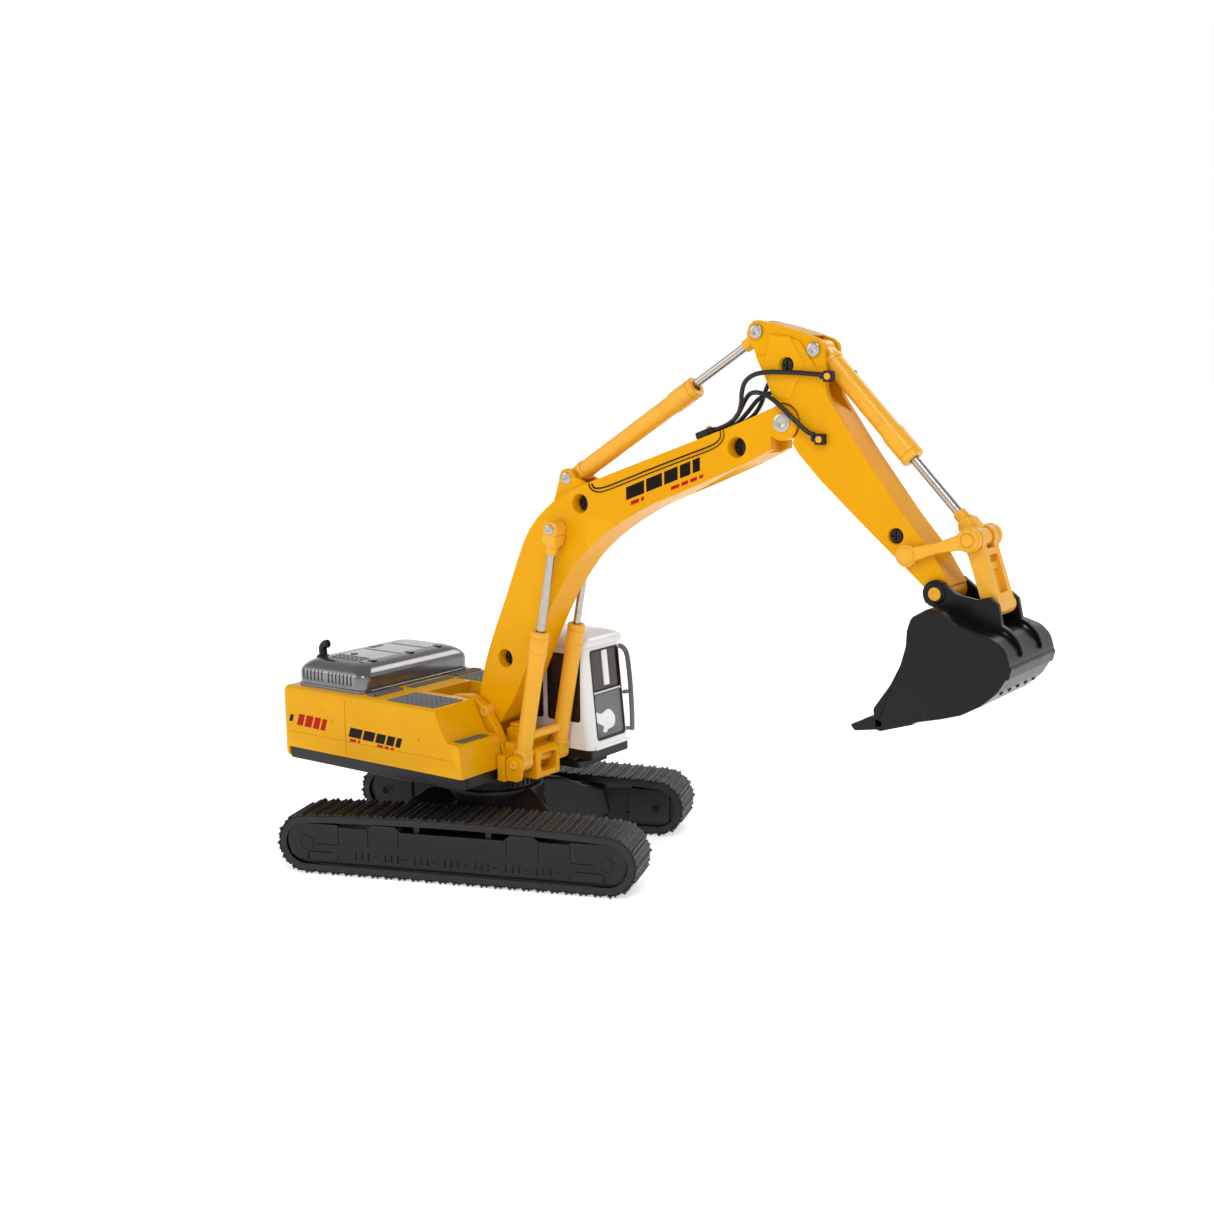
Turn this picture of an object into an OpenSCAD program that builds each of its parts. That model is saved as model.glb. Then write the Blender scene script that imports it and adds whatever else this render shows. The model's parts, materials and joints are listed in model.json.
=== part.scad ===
// Toy tracked excavator, about 1:50 scale, millimetres.
// +X is the way the boom points, +Y is the machine's left, +Z is up, and the ground is z = 0.
// The shapes are drawn about the swing axis; place() moves them to the centre of the whole model.

/* [Undercarriage] */
// Length of a track from tip to tip
track_len = 100; // [92:1:104]
// Height of a track over its treads
track_h = 16.7; // [15.5:0.1:17.5]
// Width of a track
track_w = 14.8; // [12:0.1:16]
// Distance between the track centre lines
gauge = 52.5; // [50:0.5:60]
// Angle that the undercarriage is turned to the left of the boom, in degrees
turn_angle = 20.9; // [0:0.1:30]
// Number of shoes on one track
shoe_count = 56; // [40:2:64]

/* [Superstructure] */
// Width over the yellow deck
deck_w = 50; // [48:0.5:54]
// Height of the underside of the black skirt
skirt_z = 23.1; // [22.8:0.1:24]
// Height of the seam between the skirt and the yellow deck
deck_z = 26.5; // [26:0.1:27.5]
// Height of the flat top of the deck
deck_top = 44.2; // [43.8:0.1:45]
// Distance from the swing axis to the tail
tail_x = 57.1; // [56:0.1:60]
// Height of the top of the engine hood
hood_top = 52; // [50:0.1:55]
// Height of the cab roof at its edge
roof_z = 58.4; // [57:0.1:60]

/* [Arm] */
// Width of the boom
boom_w = 10; // [9.6:0.1:10.4]
// Width of the stick
stick_w = 9; // [8.8:0.1:9.2]
// Width of the bucket
bucket_w = 26.6; // [22:0.2:32]
// Outside diameter of the cylinder barrels
barrel_d = 4.7; // [4.6:0.1:4.8]
// Diameter of the cylinder rods
rod_d = 2.1; // [2:0.1:2.1]
// Diameter of the hoses
hose_d = 1.1; // [0.9:0.1:1.2]

/* [Hidden] */
$fn = 48;

// Swing axis to the centre of the whole model's box, along X
swing_x = 47.4;
// Pivot positions [x, z] seen from the side
boom_foot = [4, 41];
boom_cyl_foot = [16.8, 28.4];
boom_cyl_eye = [29.4, 91.8];
stick_cyl_foot = [30.6, 104.7];
boom_tip = [94.2, 119.2];
stick_cyl_eye = [87.1, 140];
bucket_cyl_foot = [102, 135.6];
rocker_foot = [126.1, 90.6];
linkage_joint = [140.4, 94.8];
bucket_pivot = [133.2, 82.8];
link_foot = [145.2, 80.4];
// Clearances: running fit of a pin, side gap between bodies, gap of a wide slot
fit_gap = 0.06;
side_gap = 0.3;
// Pin radii
pin_r = 1.1;
thick_pin_r = 1.5;
// Parts of the track
shoe_h = 0.8;
belt_t = 1.15;
end_r = track_h / 2;
end_x = track_len / 2 - end_r;
belt_r = end_r - shoe_h;
wheel_r = belt_r - belt_t - 0.35;
carrier_x = 10;
carrier_rise = 1.1;

// ---- Helpers ----

module place() {
    translate([-swing_x, 0, 0])
        children();
}

// The undercarriage's own frame
module turned() {
    place()
        rotate([0, 0, turn_angle])
            children();
}

// A plate drawn in the side view, from y0 to y1
module side_plate(points, y0, y1) {
    translate([0, y1, 0])
        rotate([90, 0, 0])
            linear_extrude(y1 - y0)
                polygon(points);
}

// A plate drawn by its 2-D children in the side view, from y0 to y1
module side_slab(y0, y1) {
    translate([0, y1, 0])
        rotate([90, 0, 0])
            linear_extrude(y1 - y0)
                children();
}

// A round bar along Y through the side-view point at
module y_bar(at, r, y0, y1) {
    translate([at[0], y0, at[1]])
        rotate([-90, 0, 0])
            cylinder(h = y1 - y0, r = r);
}

// A block from its lowest corner to its highest corner
module block(low, high) {
    translate(low)
        cube(high - low);
}

// Direction in degrees from one side-view point to another
function heading(from, to) = atan2(to[1] - from[1], to[0] - from[0]);

// Puts a shape drawn along +X at a side-view point and turns it towards another
module aimed(from, to, y = 0) {
    translate([from[0], y, from[1]])
        rotate([0, -heading(from, to), 0])
            children();
}

// A round bar along +X
module x_bar(x0, x1, r) {
    translate([x0, 0, 0])
        rotate([0, 90, 0])
            cylinder(h = x1 - x0, r = r);
}

// Both sides of the boom plane
module both_sides() {
    children();
    mirror([0, 1, 0])
        children();
}

// ---- Undercarriage ----

// Length of each stretch of the track's centre loop, from the lowest point of the front wheel
rise_run = end_x - carrier_x;
flat_run = 2 * end_x;
arc_run = PI * belt_r;
slope_run = norm([rise_run, carrier_rise]);
loop_run = flat_run + 2 * arc_run + 2 * slope_run + 2 * carrier_x;

// Point and outward direction [x, z, angle] on the belt's outer face at distance s along the loop
function on_belt(s) =
    s < arc_run ? arc_point(end_x, -90 + 180 * s / arc_run) :
    s < arc_run + slope_run ? top_point(end_x, carrier_x, 0, carrier_rise, (s - arc_run) / slope_run) :
    s < arc_run + slope_run + 2 * carrier_x ?
        top_point(carrier_x, -carrier_x, carrier_rise, carrier_rise, (s - arc_run - slope_run) / (2 * carrier_x)) :
    s < arc_run + 2 * slope_run + 2 * carrier_x ?
        top_point(-carrier_x, -end_x, carrier_rise, 0,
            (s - arc_run - slope_run - 2 * carrier_x) / slope_run) :
    s < 2 * arc_run + 2 * slope_run + 2 * carrier_x ?
        arc_point(-end_x, 90 + 180 * (s - arc_run - 2 * slope_run - 2 * carrier_x) / arc_run) :
    [-end_x + (s - loop_run + flat_run), end_r - belt_r, -90];
function arc_point(x, a) = [x + belt_r * cos(a), end_r + belt_r * sin(a), a];
function top_point(xa, xb, za, zb, t) =
    [xa + (xb - xa) * t, end_r + belt_r + za + (zb - za) * t, 90 - atan2(zb - za, xa - xb)];
function raised(p, h) = [p[0] + h * cos(p[2]), p[1] + h * sin(p[2])];

module track(y) {
    pitch = loop_run / shoe_count;
    outline = [for (i = [0:shoe_count - 1])
        for (corner = [[0.1, 0], [0.18, shoe_h], [0.82, shoe_h], [0.9, 0]])
            raised(on_belt((i + corner[0]) * pitch), corner[1])];
    inside = [for (i = [0:2 * shoe_count - 1]) raised(on_belt((i + 0.5) * pitch / 2), -belt_t)];
    color("#1c1c1d")
        turned()
            side_slab(y - track_w / 2, y + track_w / 2)
                difference() {
                    polygon(outline);
                    polygon(inside);
                }
}

// Outline of the frame inside the belt
module frame_outline(r) {
    for (side = [-1, 1])
        translate([side * end_x, end_r])
            circle(r = r);
    polygon([[-end_x, end_r - r], [end_x, end_r - r], [end_x, end_r + r],
        [carrier_x, end_r + r + carrier_rise], [-carrier_x, end_r + r + carrier_rise], [-end_x, end_r + r]]);
}

// side is 1 for left and -1 for right; the outer cheek is the one away from the chassis
module side_frame(side) {
    y = side * gauge / 2;
    half = track_w / 2 - 0.4;
    color("#202022")
        turned()
            difference() {
                side_slab(y - half, y + half)
                    frame_outline(belt_r - belt_t - 0.15);
                // Pockets for the end wheels
                for (end = [-1, 1])
                    block([end * (end_x + 1.5) - 9.5, y - 4.6, -1], [end * (end_x + 1.5) + 9.5, y + 4.6, track_h + 1]);
                for (end = [-1, 1])
                    y_bar([end * end_x, end_r], pin_r + 0.4, y - half - 1, y + half + 1);
                // Sunk panel along the outer cheek, above and below the ledge
                block([-33, min(y + side * (half - 0.9), y + side * (half + 1)), end_r + 1.2],
                    [33, max(y + side * (half - 0.9), y + side * (half + 1)), end_r + 3.4]);
                block([-31, min(y + side * (half - 0.9), y + side * (half + 1)), end_r - 4.4],
                    [31, max(y + side * (half - 0.9), y + side * (half + 1)), end_r - 0.4]);
            }
}

module axles() {
    color("#2c2c2e")
        turned()
            for (side = [-1, 1], end = [-1, 1])
                y_bar([end * end_x, end_r], pin_r + 0.4, side * gauge / 2 - track_w / 2 + 0.4,
                    side * gauge / 2 + track_w / 2 - 0.4);
}

// An end wheel with a rim groove; teeth is the number of lugs on a drive sprocket
module end_wheel(side, end, teeth) {
    y = side * gauge / 2;
    color("#262628")
        turned()
            difference() {
                union() {
                    y_bar([end * end_x, end_r], wheel_r, y - 4.2, y - 1.6);
                    y_bar([end * end_x, end_r], wheel_r, y + 1.6, y + 4.2);
                    y_bar([end * end_x, end_r], wheel_r - 1.2, y - 1.7, y + 1.7);
                    for (i = [0:1:teeth - 1])
                        translate([end * end_x, y, end_r])
                            rotate([0, i * 360 / teeth, 0])
                                block([wheel_r - 2, -1.65, -0.7], [wheel_r - 0.2, 1.65, 0.7]);
                }
                y_bar([end * end_x, end_r], pin_r + 0.4 + fit_gap, y - 5, y + 5);
            }
}

module chassis() {
    arm_y = gauge / 2 - track_w / 2 + 0.4;
    color("#1b1b1c")
        turned()
            difference() {
                union() {
                    translate([0, 0, 7])
                        cylinder(h = 13, r = 14);
                    translate([0, 0, 20])
                        cylinder(h = skirt_z - 20 - side_gap, r = 12.5);
                    // Four sloping arms of the X frame
                    for (side = [-1, 1], end = [-1, 1])
                        hull() {
                            block([end * 6 - 6, side * 6 - 4, 9], [end * 6 + 6, side * 6 + 4, 19.4]);
                            block([end * 20 - 7, side * (arm_y - 1) - 1, 3.5], [end * 20 + 7, side * (arm_y - 1) + 1, 13]);
                        }
                    block([-15, -arm_y, 4.5], [15, arm_y, 8]);
                }
                // Bore for the swing stud, and a pocket for its screw
                translate([0, 0, 12])
                    cylinder(h = 30, r = 5 + fit_gap);
                translate([0, 0, -1])
                    cylinder(h = 11, r = 4.2);
                translate([0, 0, -1])
                    cylinder(h = 30, r = 1.5);
            }
}

module pivot_screw() {
    color("silver")
        turned()
            difference() {
                union() {
                    translate([0, 0, 8.3])
                        cylinder(h = 1.6, r = 3.6);
                    translate([0, 0, 9.5])
                        cylinder(h = 11, r = 1.3);
                }
                block([-2, -0.35, 7], [2, 0.35, 9]);
                block([-0.35, -2, 7], [0.35, 2, 9]);
            }
}

// ---- Superstructure ----

// Side view of the right-hand side of the deck, from the tail to the stepped front pod
deck_side = [[-tail_x, deck_z], [-tail_x, deck_top - 3], [-tail_x + 1.6, deck_top - 0.6], [-tail_x + 4, deck_top],
    [0.6, deck_top], [2.2, deck_top - 0.8], [4.4, 36.6], [5.6, 35.6], [9, 35.6], [9.8, 34.8], [10.6, deck_z]];
// Side view of the left-hand side, which stops at the cab
deck_left_x = -3.6;
channel_half = 8.9;

module deck() {
    color("#eaa81c")
        place()
            difference() {
                union() {
                    side_plate(deck_side, -deck_w / 2, -channel_half);
                    intersection() {
                        side_plate(deck_side, channel_half, deck_w / 2);
                        block([-80, 0, 0], [deck_left_x, 40, 60]);
                    }
                    // Body under the hood, behind the boom channel
                    block([-tail_x + 3, -channel_half - 1, deck_z], [-16, channel_half, deck_top - 0.2]);
                    block([-20, -channel_half - 1, deck_z], [-8.05, channel_half, deck_top - 12]);
                }
                // Rounded tail corners
                for (side = [-1, 1])
                    difference() {
                        block([-tail_x - 1, side * deck_w / 2 - 5, deck_z - 1],
                            [-tail_x + 5, side * deck_w / 2 + 5, deck_top + 1]);
                        translate([-tail_x + 5, side * (deck_w / 2 - 5), deck_z - 2])
                            cylinder(h = 30, r = 5);
                        block([-tail_x - 2, side > 0 ? -40 : -deck_w / 2 + 5, deck_z - 2],
                            [-tail_x + 6, side > 0 ? deck_w / 2 - 5 : 40, deck_top + 2]);
                    }
                // Step along the top outer edges
                for (side = [-1, 1])
                    translate([0, side * deck_w / 2, deck_top])
                        rotate([45, 0, 0])
                            block([-90, -0.7, -0.7], [30, 0.7, 0.7]);
                // Hollow underside
                block([-tail_x + 6, -deck_w / 2 + 2, deck_z - 1], [-24, deck_w / 2 - 2, deck_top - 3]);
                block([-25, -deck_w / 2 + 2, deck_z - 1], [1, -channel_half - 2, deck_top - 3]);
                block([-25, channel_half + 2, deck_z - 1], [deck_left_x - 2, deck_w / 2 - 2, deck_top - 3]);
                // Two rows of small vents on the left side
                for (row = [0, 1], i = [0:5])
                    block([-44 + i * 5, deck_w / 2 - 0.6, 33 + row * 4], [-41.2 + i * 5, deck_w / 2 + 1, 34.6 + row * 4]);
            }
}

module base_skirt() {
    color("#1e1e20")
        place()
            difference() {
                union() {
                    side_plate([[-tail_x + 1.2, deck_z], [10.4, deck_z], [10.4, skirt_z], [-tail_x + 1.2, skirt_z]],
                        -deck_w / 2 + 0.4, deck_w / 2 - 0.4);
                    block([deck_left_x, 11.2, skirt_z], [22, deck_w / 2 - 0.4, deck_z - 1.4]);
                    // Swing stud
                    translate([0, 0, 13])
                        cylinder(h = 12, r = 5);
                }
                block([deck_left_x, cab_y0 + 0.3, deck_z - 1.4], [30, deck_w, deck_z + 1]);
                for (side = [-1, 1])
                    translate([-tail_x + 1.2, side * (deck_w / 2 - 0.4), 0])
                        rotate([0, 0, 45])
                            block([-4, -4, 0], [4, 4, 60]);
                translate([0, 0, 10])
                    cylinder(h = 14, r = 1.3 + fit_gap);
            }
}

module base_screws() {
    color("silver")
        place()
            for (x = [-50, -8], side = [-1, 1])
                translate([x, side * 20, skirt_z - 0.35])
                    difference() {
                        cylinder(h = 0.35, r = 1.6);
                        block([-1.1, -0.2, -1], [1.1, 0.2, 0.2]);
                    }
}

// Hood cross-section, seen from the side, with sloping rounded shoulders
hood_front = -27.8;
hood_rear = -53.4;
hood_half = 22;
module engine_hood() {
    section = [[-hood_half, 0], [-hood_half, 4], [-hood_half + 1, 6.2], [-hood_half + 3.4, hood_top - deck_top],
        [hood_half - 3.4, hood_top - deck_top], [hood_half - 1, 6.2], [hood_half, 4], [hood_half, 0]];
    color("#5c5c60")
        place()
            difference() {
                translate([hood_rear, 0, deck_top])
                    rotate([90, 0, 90])
                        linear_extrude(hood_front - hood_rear)
                            polygon(section);
                // Sloping rear and front edges
                translate([hood_rear, 0, deck_top + 5])
                    rotate([0, -50, 0])
                        block([-8, -30, 0], [8, 30, 8]);
                translate([hood_front, 0, deck_top + 5.6])
                    rotate([0, 50, 0])
                        block([-8, -30, 0], [8, 30, 8]);
                // Vent slots in both flanks
                for (side = [-1, 1], i = [0:9])
                    block([hood_rear + 2.6 + i * 2.1, side * hood_half - 0.7, deck_top + 1.2],
                        [hood_rear + 3.7 + i * 2.1, side * hood_half + 0.7, deck_top + 4.4]);
            }
}

module exhaust() {
    at = [-50.6, -15.5];
    color("#2a2a2c")
        place() {
            translate([at[0], at[1], hood_top])
                cylinder(h = 2, r = 0.9);
            translate([at[0], at[1], hood_top + 2])
                sphere(r = 0.9);
            translate([at[0], at[1], hood_top + 2])
                rotate([0, 62, 0])
                    cylinder(h = 2.4, r = 0.9);
        }
}

// Cab side view: a raked windscreen and a rounded roof
cab_y0 = 10.5;
cab_y1 = 28;
cab_z = 28.8;
windscreen_x = 26.9;
windscreen_rake = 0.1;
// Point at height z on the windscreen, or inset behind it
function windscreen(z, inset) = [windscreen_x - inset - windscreen_rake * (z - cab_z), z];
cab_outline = [[-3.4, cab_z], [-3.4, 55.6], [-2.4, 57.6], [0, roof_z + 0.6], [14, roof_z + 1.2], [21.8, roof_z + 0.4],
    [23.4, roof_z - 0.6], windscreen(roof_z - 2.6, 0), windscreen(cab_z, 0)];
// Side view of the space inside, gap away from the walls, from height low to high
function cab_room(gap, low, high) = [[-2.2 + gap, low], [-2.2 + gap, high], windscreen(high, 1.3 + gap),
    windscreen(low, 1.3 + gap)];
module cab_shell() {
    color("#f1f1f0")
        place()
            difference() {
                side_plate(cab_outline, cab_y0, cab_y1);
                // Cabin
                side_plate(cab_room(0, cab_z - 1, roof_z - 1.4), cab_y0 + 1.2, cab_y1 - 1.2);
                // Windscreen
                block([21.5, cab_y0 + 2.4, 31.5], [28, cab_y1 - 2.4, 55.6]);
                // Right-hand windows
                side_plate([[0, 37], [0, 55], [9, 55], [9, 37]], cab_y0 - 1, cab_y0 + 2);
                side_plate([[10.6, 37], [10.6, 55], [20.5, 55], [20.5, 37]], cab_y0 - 1, cab_y0 + 2);
                // Left-hand windows: two upright ones in the door and a slanting one ahead of it
                side_plate([[-0.6, 42], [-0.6, 55], [6.4, 55], [6.4, 42]], cab_y1 - 2, cab_y1 + 1);
                side_plate([[8.4, 36], [8.4, 55], [15.4, 55], [15.4, 36]], cab_y1 - 2, cab_y1 + 1);
                side_plate([[17.2, 40], [17.2, 55], [22, 55], [23.4, 46], [23.8, 40]], cab_y1 - 2, cab_y1 + 1);
                // Rear window
                block([-5, cab_y0 + 3, 46], [-1, cab_y1 - 3, 55]);
            }
}

module cab_glass() {
    color("#3a3330", 0.7)
        place()
            difference() {
                side_plate(cab_room(0.05, cab_z + 8, roof_z - 1.45), cab_y0 + 1.25, cab_y1 - 1.25);
                side_plate(cab_room(0.8, cab_z, roof_z - 2.2), cab_y0 + 2, cab_y1 - 2);
            }
}

module cab_base() {
    color("#202022")
        place()
            difference() {
                block([-3, cab_y0 + 0.4, deck_z - 1.4], [26, cab_y1 - 0.4, cab_z]);
                block([14, cab_y0 - 1, deck_z - 2], [17.5, cab_y1 + 1, deck_z]);
                block([20, cab_y0 - 1, deck_z - 2], [22, cab_y1 + 1, deck_z]);
            }
}

module cab_seat() {
    mid = (cab_y0 + cab_y1) / 2;
    color("#2e2e31")
        place() {
            block([0.5, mid - 3, cab_z], [9, mid + 3, cab_z + 3.4]);
            side_plate([[1.2, cab_z + 3], [9.4, cab_z + 3], [9.4, cab_z + 6], [3.4, cab_z + 6.2], [1.8, cab_z + 17],
                [-0.2, cab_z + 17]], mid - 3.4, mid + 3.4);
            block([2.5, mid - 5.4, cab_z], [9.5, mid - 3.8, cab_z + 7.6]);
            block([2.5, mid + 3.8, cab_z], [9.5, mid + 5.4, cab_z + 7.6]);
        }
}

module handrail() {
    x = 25.2;
    y = cab_y1 + 1.5;
    color("#8d9094")
        place() {
            translate([x, y, cab_z + 2])
                cylinder(h = 19.2, r = 0.55);
            translate([x, y, cab_z + 20.9])
                rotate([9, -14, 0])
                    cylinder(h = 5.6, r = 0.5);
            for (z = [cab_z + 3, cab_z + 13])
                block([x - 1.6, cab_y1, z - 0.4], [x + 0.3, y + 0.2, z + 0.4]);
        }
}

module grip_mats() {
    color("#85868a")
        place() {
            block([-17.5, -23.4, deck_top], [0.2, -12, deck_top + 0.35]);
            block([-22, 9.6, deck_top], [-5, 22, deck_top + 0.35]);
            block([5.6, -22.6, 35.6], [8.8, -12, 35.95]);
            block([-26.8, -22, deck_top], [-23.4, -11, deck_top + 0.6]);
            block([-26.8, 11, deck_top], [-23.4, 22, deck_top + 0.6]);
        }
}

// Boom bracket: two cheeks beside the boom foot, and a box in front that holds the cylinder feet
bracket_cheek = [[-8, skirt_z + 3.4], [-8, 44.4], [-1.6, 44.6], [2.4, 43.4], [6, 39.6], [9.4, 33.4], [12.4, 27],
    [12.4, skirt_z + 0.2], [10.7, skirt_z + 0.2], [10.7, deck_z + 0.02]];
foot_room_y = 10.2;
ear_out_y = 11.5;
module boom_bracket() {
    cheek_y = boom_w / 2 + side_gap;
    color("#efb03a")
        place()
            difference() {
                union() {
                    both_sides()
                        side_plate(bracket_cheek, cheek_y, channel_half - 0.6);
                    // Floor, front box and the ribbed cover ahead of the boom foot
                    block([-8, -cheek_y - 1, deck_z + 0.02], [11, cheek_y + 1, 30]);
                    block([10.8, -channel_half + 0.6, skirt_z + 0.2], [13.6, channel_half - 0.6, 33]);
                    block([13, -3.4, skirt_z + 0.2], [19.6, 3.4, 31.6]);
                    block([11, -ear_out_y, skirt_z + 0.2], [13.6, foot_room_y, 30]);
                    // Outer ear on the right; the cab leaves no room for one on the left
                    side_slab(-ear_out_y, -foot_room_y) {
                        translate(boom_cyl_foot)
                            circle(r = 3);
                        polygon([[13, skirt_z + 0.2], [19.2, skirt_z + 0.2], [19.8, 28.4], [13.4, 29.4]]);
                    }
                    for (i = [0:4])
                        block([9.2 + i * 0.3, -2.6, 31.6 + i * 0.8 - 0.01], [12.4 - i * 0.3, 2.6, 32.4 + i * 0.8]);
                }
                y_bar(boom_foot, thick_pin_r, -20, 20);
                y_bar(boom_cyl_foot, pin_r, -20, 20);
                // Room for the cylinder feet
                both_sides()
                    y_bar(boom_cyl_foot, 3.1, 5.2, foot_room_y);
                both_sides()
                    block([13.59, 5.2, 25], [24, foot_room_y, 36]);
                // Pocket in the front box
                block([15, -2.2, 25], [24, 2.2, 30]);
            }
}

module boom_foot_pin() {
    color("silver")
        place()
            y_bar(boom_foot, thick_pin_r, -channel_half + 0.6, channel_half - 0.6);
}

module cylinder_foot_pin() {
    color("#efb03a")
        place()
            y_bar(boom_cyl_foot, pin_r, -ear_out_y, foot_room_y);
}

// ---- Boom ----

boom_outline = [[-0.4, 42.4], [1.6, 51.6], [4.6, 60.2], [9.9, 71.6], [14.5, 82.6], [17, 88.1], [19, 91.2],
    [21.7, 94.2], [25.2, 97.2], [29, 100.2], [34.4, 102.4], [42.1, 105.1], [54.5, 109.1], [72.1, 115.2],
    [83.2, 119.3], [92.6, 123.2], [boom_tip[0] + 3.6, 117.4], [94.6, 115], [88.6, 111.6], [83.2, 109.1],
    [72, 104.5], [60.4, 100], [54.3, 97.4], [48.2, 94], [41.6, 89.8], [35.8, 84.8], [31.6, 79.9], [28, 75],
    [24.6, 69.4], [20.6, 62], [16.2, 52.6], [9, 40.4]];
boom_screw_at = [[9.4, 55.6], [35.6, 98.4], [82.2, 113.4]];
tip_r = 4.1;
tongue_half = 2.5;

// One half of the boom; side is 1 for left and -1 for right
module boom_half(side) {
    inner = 0;
    outer = boom_w / 2;
    color("#e9a51e")
        place()
            mirror([0, side > 0 ? 0 : 1, 0])
                difference() {
                    union() {
                        difference() {
                            side_plate(boom_outline, inner, outer);
                            // The tip is cut square here, and its round cheek is added below
                            block([boom_tip[0], -1, 105], [110, 12, 130]);
                        }
                        y_bar(boom_tip, tip_r, tongue_half + side_gap, outer);
                        y_bar(boom_foot, 4.6, inner, outer);
                        // Ear for the stick cylinder
                        side_slab(2.5, 4.1) {
                            translate(stick_cyl_foot)
                                circle(r = 2.3);
                            polygon([stick_cyl_foot + [-2.2, 0], stick_cyl_foot + [2.2, 0.8], [38, 103.4], [26, 97.6]]);
                        }
                        block([27, 0, 97.4], [34, 4.1, 100.4]);
                    }
                    // Slot between the tip cheeks for the stick's tongue
                    y_bar(boom_tip, 4.6, -1, tongue_half + side_gap);
                    block([boom_tip[0] - 1, -1, 108], [110, tongue_half + side_gap, 130]);
                    side_plate([boom_tip + [-4.5, -1], boom_tip + [0, 4.6], boom_tip + [8, 6], boom_tip + [8, -9],
                        boom_tip + [-5, -9]], -1, tongue_half + side_gap);
                    // Room for the eye of the stick cylinder's barrel
                    y_bar(stick_cyl_foot, 3, -1, 2.2 + side_gap);
                    // Bores
                    y_bar(boom_foot, thick_pin_r + fit_gap, -1, 12);
                    y_bar(boom_cyl_eye, pin_r, -1, 12);
                    y_bar(stick_cyl_foot, pin_r, -1, 12);
                    y_bar(boom_tip, thick_pin_r, -1, 12);
                    // Screw recesses in the right half, and blind holes in the left half
                    for (at = boom_screw_at)
                        y_bar(at, side < 0 ? 2.1 : 0.8, side < 0 ? 1.8 : -1, side < 0 ? 12 : 3.4);
                    for (at = boom_screw_at)
                        y_bar(at, 0.8, -1, 2);
                }
}

module boom_screws() {
    color("#3a3a3c")
        place()
            for (at = boom_screw_at) {
                y_bar(at, 0.75, -2, 3.2);
                difference() {
                    y_bar(at, 1.7, -2.9, -1.8);
                    translate([at[0], -2.9, at[1]])
                        block([-1.1, -0.4, -0.22], [1.1, 0.4, 0.22]);
                    translate([at[0], -2.9, at[1]])
                        block([-0.22, -0.4, -1.1], [0.22, 0.4, 1.1]);
                }
            }
}

// A riveted pin with a shallow head at each end
module riveted_pin(at, r, half) {
    color("silver")
        place() {
            y_bar(at, r, -half, half);
            both_sides()
                y_bar(at, r + 0.45, half, half + 0.3);
        }
}

module hose_clamp() {
    color("#26262a")
        place()
            difference() {
                aimed([70.6, 114.9], [77, 117.2])
                    union() {
                        block([0, -4.4, 0], [3.6, 4.4, 1.7]);
                        for (y = [-3.2, -1.4, 1.4, 3.2])
                            translate([0, y, 0.9])
                                x_bar(3.4, 4.6, 0.75);
                    }
                // Pocket that the peg presses into
                aimed([70.6, 114.9], [77, 117.2])
                    translate([1.6, 0, 0.6])
                        cylinder(h = 5, r = 0.7);
            }
    color("#e9c24a")
        place()
            aimed([70.6, 114.9], [77, 117.2])
                translate([1.6, 0, 0.6])
                    cylinder(h = 2, r = 0.7);
}

// ---- Cylinders ----

// A barrel along +X: eye at the origin, open mouth at reach
module barrel(reach, eye_half, slot_half) {
    collar_len = 7.5;
    difference() {
        union() {
            x_bar(3, reach - collar_len + 0.1, barrel_d / 2);
            x_bar(reach - collar_len, reach, barrel_d / 2 + 0.3);
            translate([0, eye_half, 0])
                rotate([90, 0, 0])
                    cylinder(h = 2 * eye_half, r = 2.2);
            block([0, -eye_half, -2], [4, eye_half, 2]);
        }
        // Slot for the rod, wider in the plane of the arm
        block([5, -rod_d / 2 - 0.1, -slot_half + rod_d / 2], [reach + 1, rod_d / 2 + 0.1, slot_half - rod_d / 2]);
        for (side = [-1, 1])
            translate([0, 0, side * (slot_half - rod_d / 2)])
                x_bar(5, reach + 1, rod_d / 2 + 0.1);
        translate([0, eye_half + 1, 0])
            rotate([90, 0, 0])
                cylinder(h = 2 * eye_half + 2, r = pin_r + fit_gap);
    }
}

// A rod along +X, with its eye at the origin and its tip at reach
module rod(reach, eye_half, block_len, block_r) {
    difference() {
        union() {
            x_bar(1, reach, rod_d / 2);
            x_bar(1, block_len + 2, block_r);
            translate([0, eye_half, 0])
                rotate([90, 0, 0])
                    cylinder(h = 2 * eye_half, r = 2.2);
        }
        translate([0, eye_half + 1, 0])
            rotate([90, 0, 0])
                cylinder(h = 2 * eye_half + 2, r = pin_r + fit_gap);
    }
}

boom_cyl_y = 7.7;
boom_mouth = 37;
module boom_barrels() {
    color("#efb545")
        place() {
            for (side = [-1, 1])
                aimed(boom_cyl_foot, boom_cyl_eye, side * boom_cyl_y)
                    difference() {
                        union() {
                            x_bar(4, boom_mouth, 2.2);
                            x_bar(boom_mouth - 6, boom_mouth, 2.3);
                            x_bar(3.4, 5, 2.35);
                            translate([0, 2.2, 0])
                                rotate([90, 0, 0])
                                    cylinder(h = 4.4, r = 2.2);
                            block([0, -2.2, -1.8], [4, 2.2, 1.8]);
                        }
                        block([6, -rod_d / 2 - 0.1, -0.7], [boom_mouth + 1, rod_d / 2 + 0.1, 0.7]);
                        for (edge = [-0.7, 0.7])
                            translate([0, 0, edge])
                                x_bar(6, boom_mouth + 1, rod_d / 2 + 0.1);
                        translate([0, 5, 0])
                            rotate([90, 0, 0])
                                cylinder(h = 10, r = pin_r + fit_gap);
                    }
            // Cross tube that joins the two barrels
            aimed(boom_cyl_foot, boom_cyl_eye)
                translate([7.4, 0, 0])
                    rotate([-90, 0, 0])
                        translate([0, 0, -boom_cyl_y + 1.7])
                            cylinder(h = 2 * boom_cyl_y - 3.4, r = 1.2);
        }
}

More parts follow.
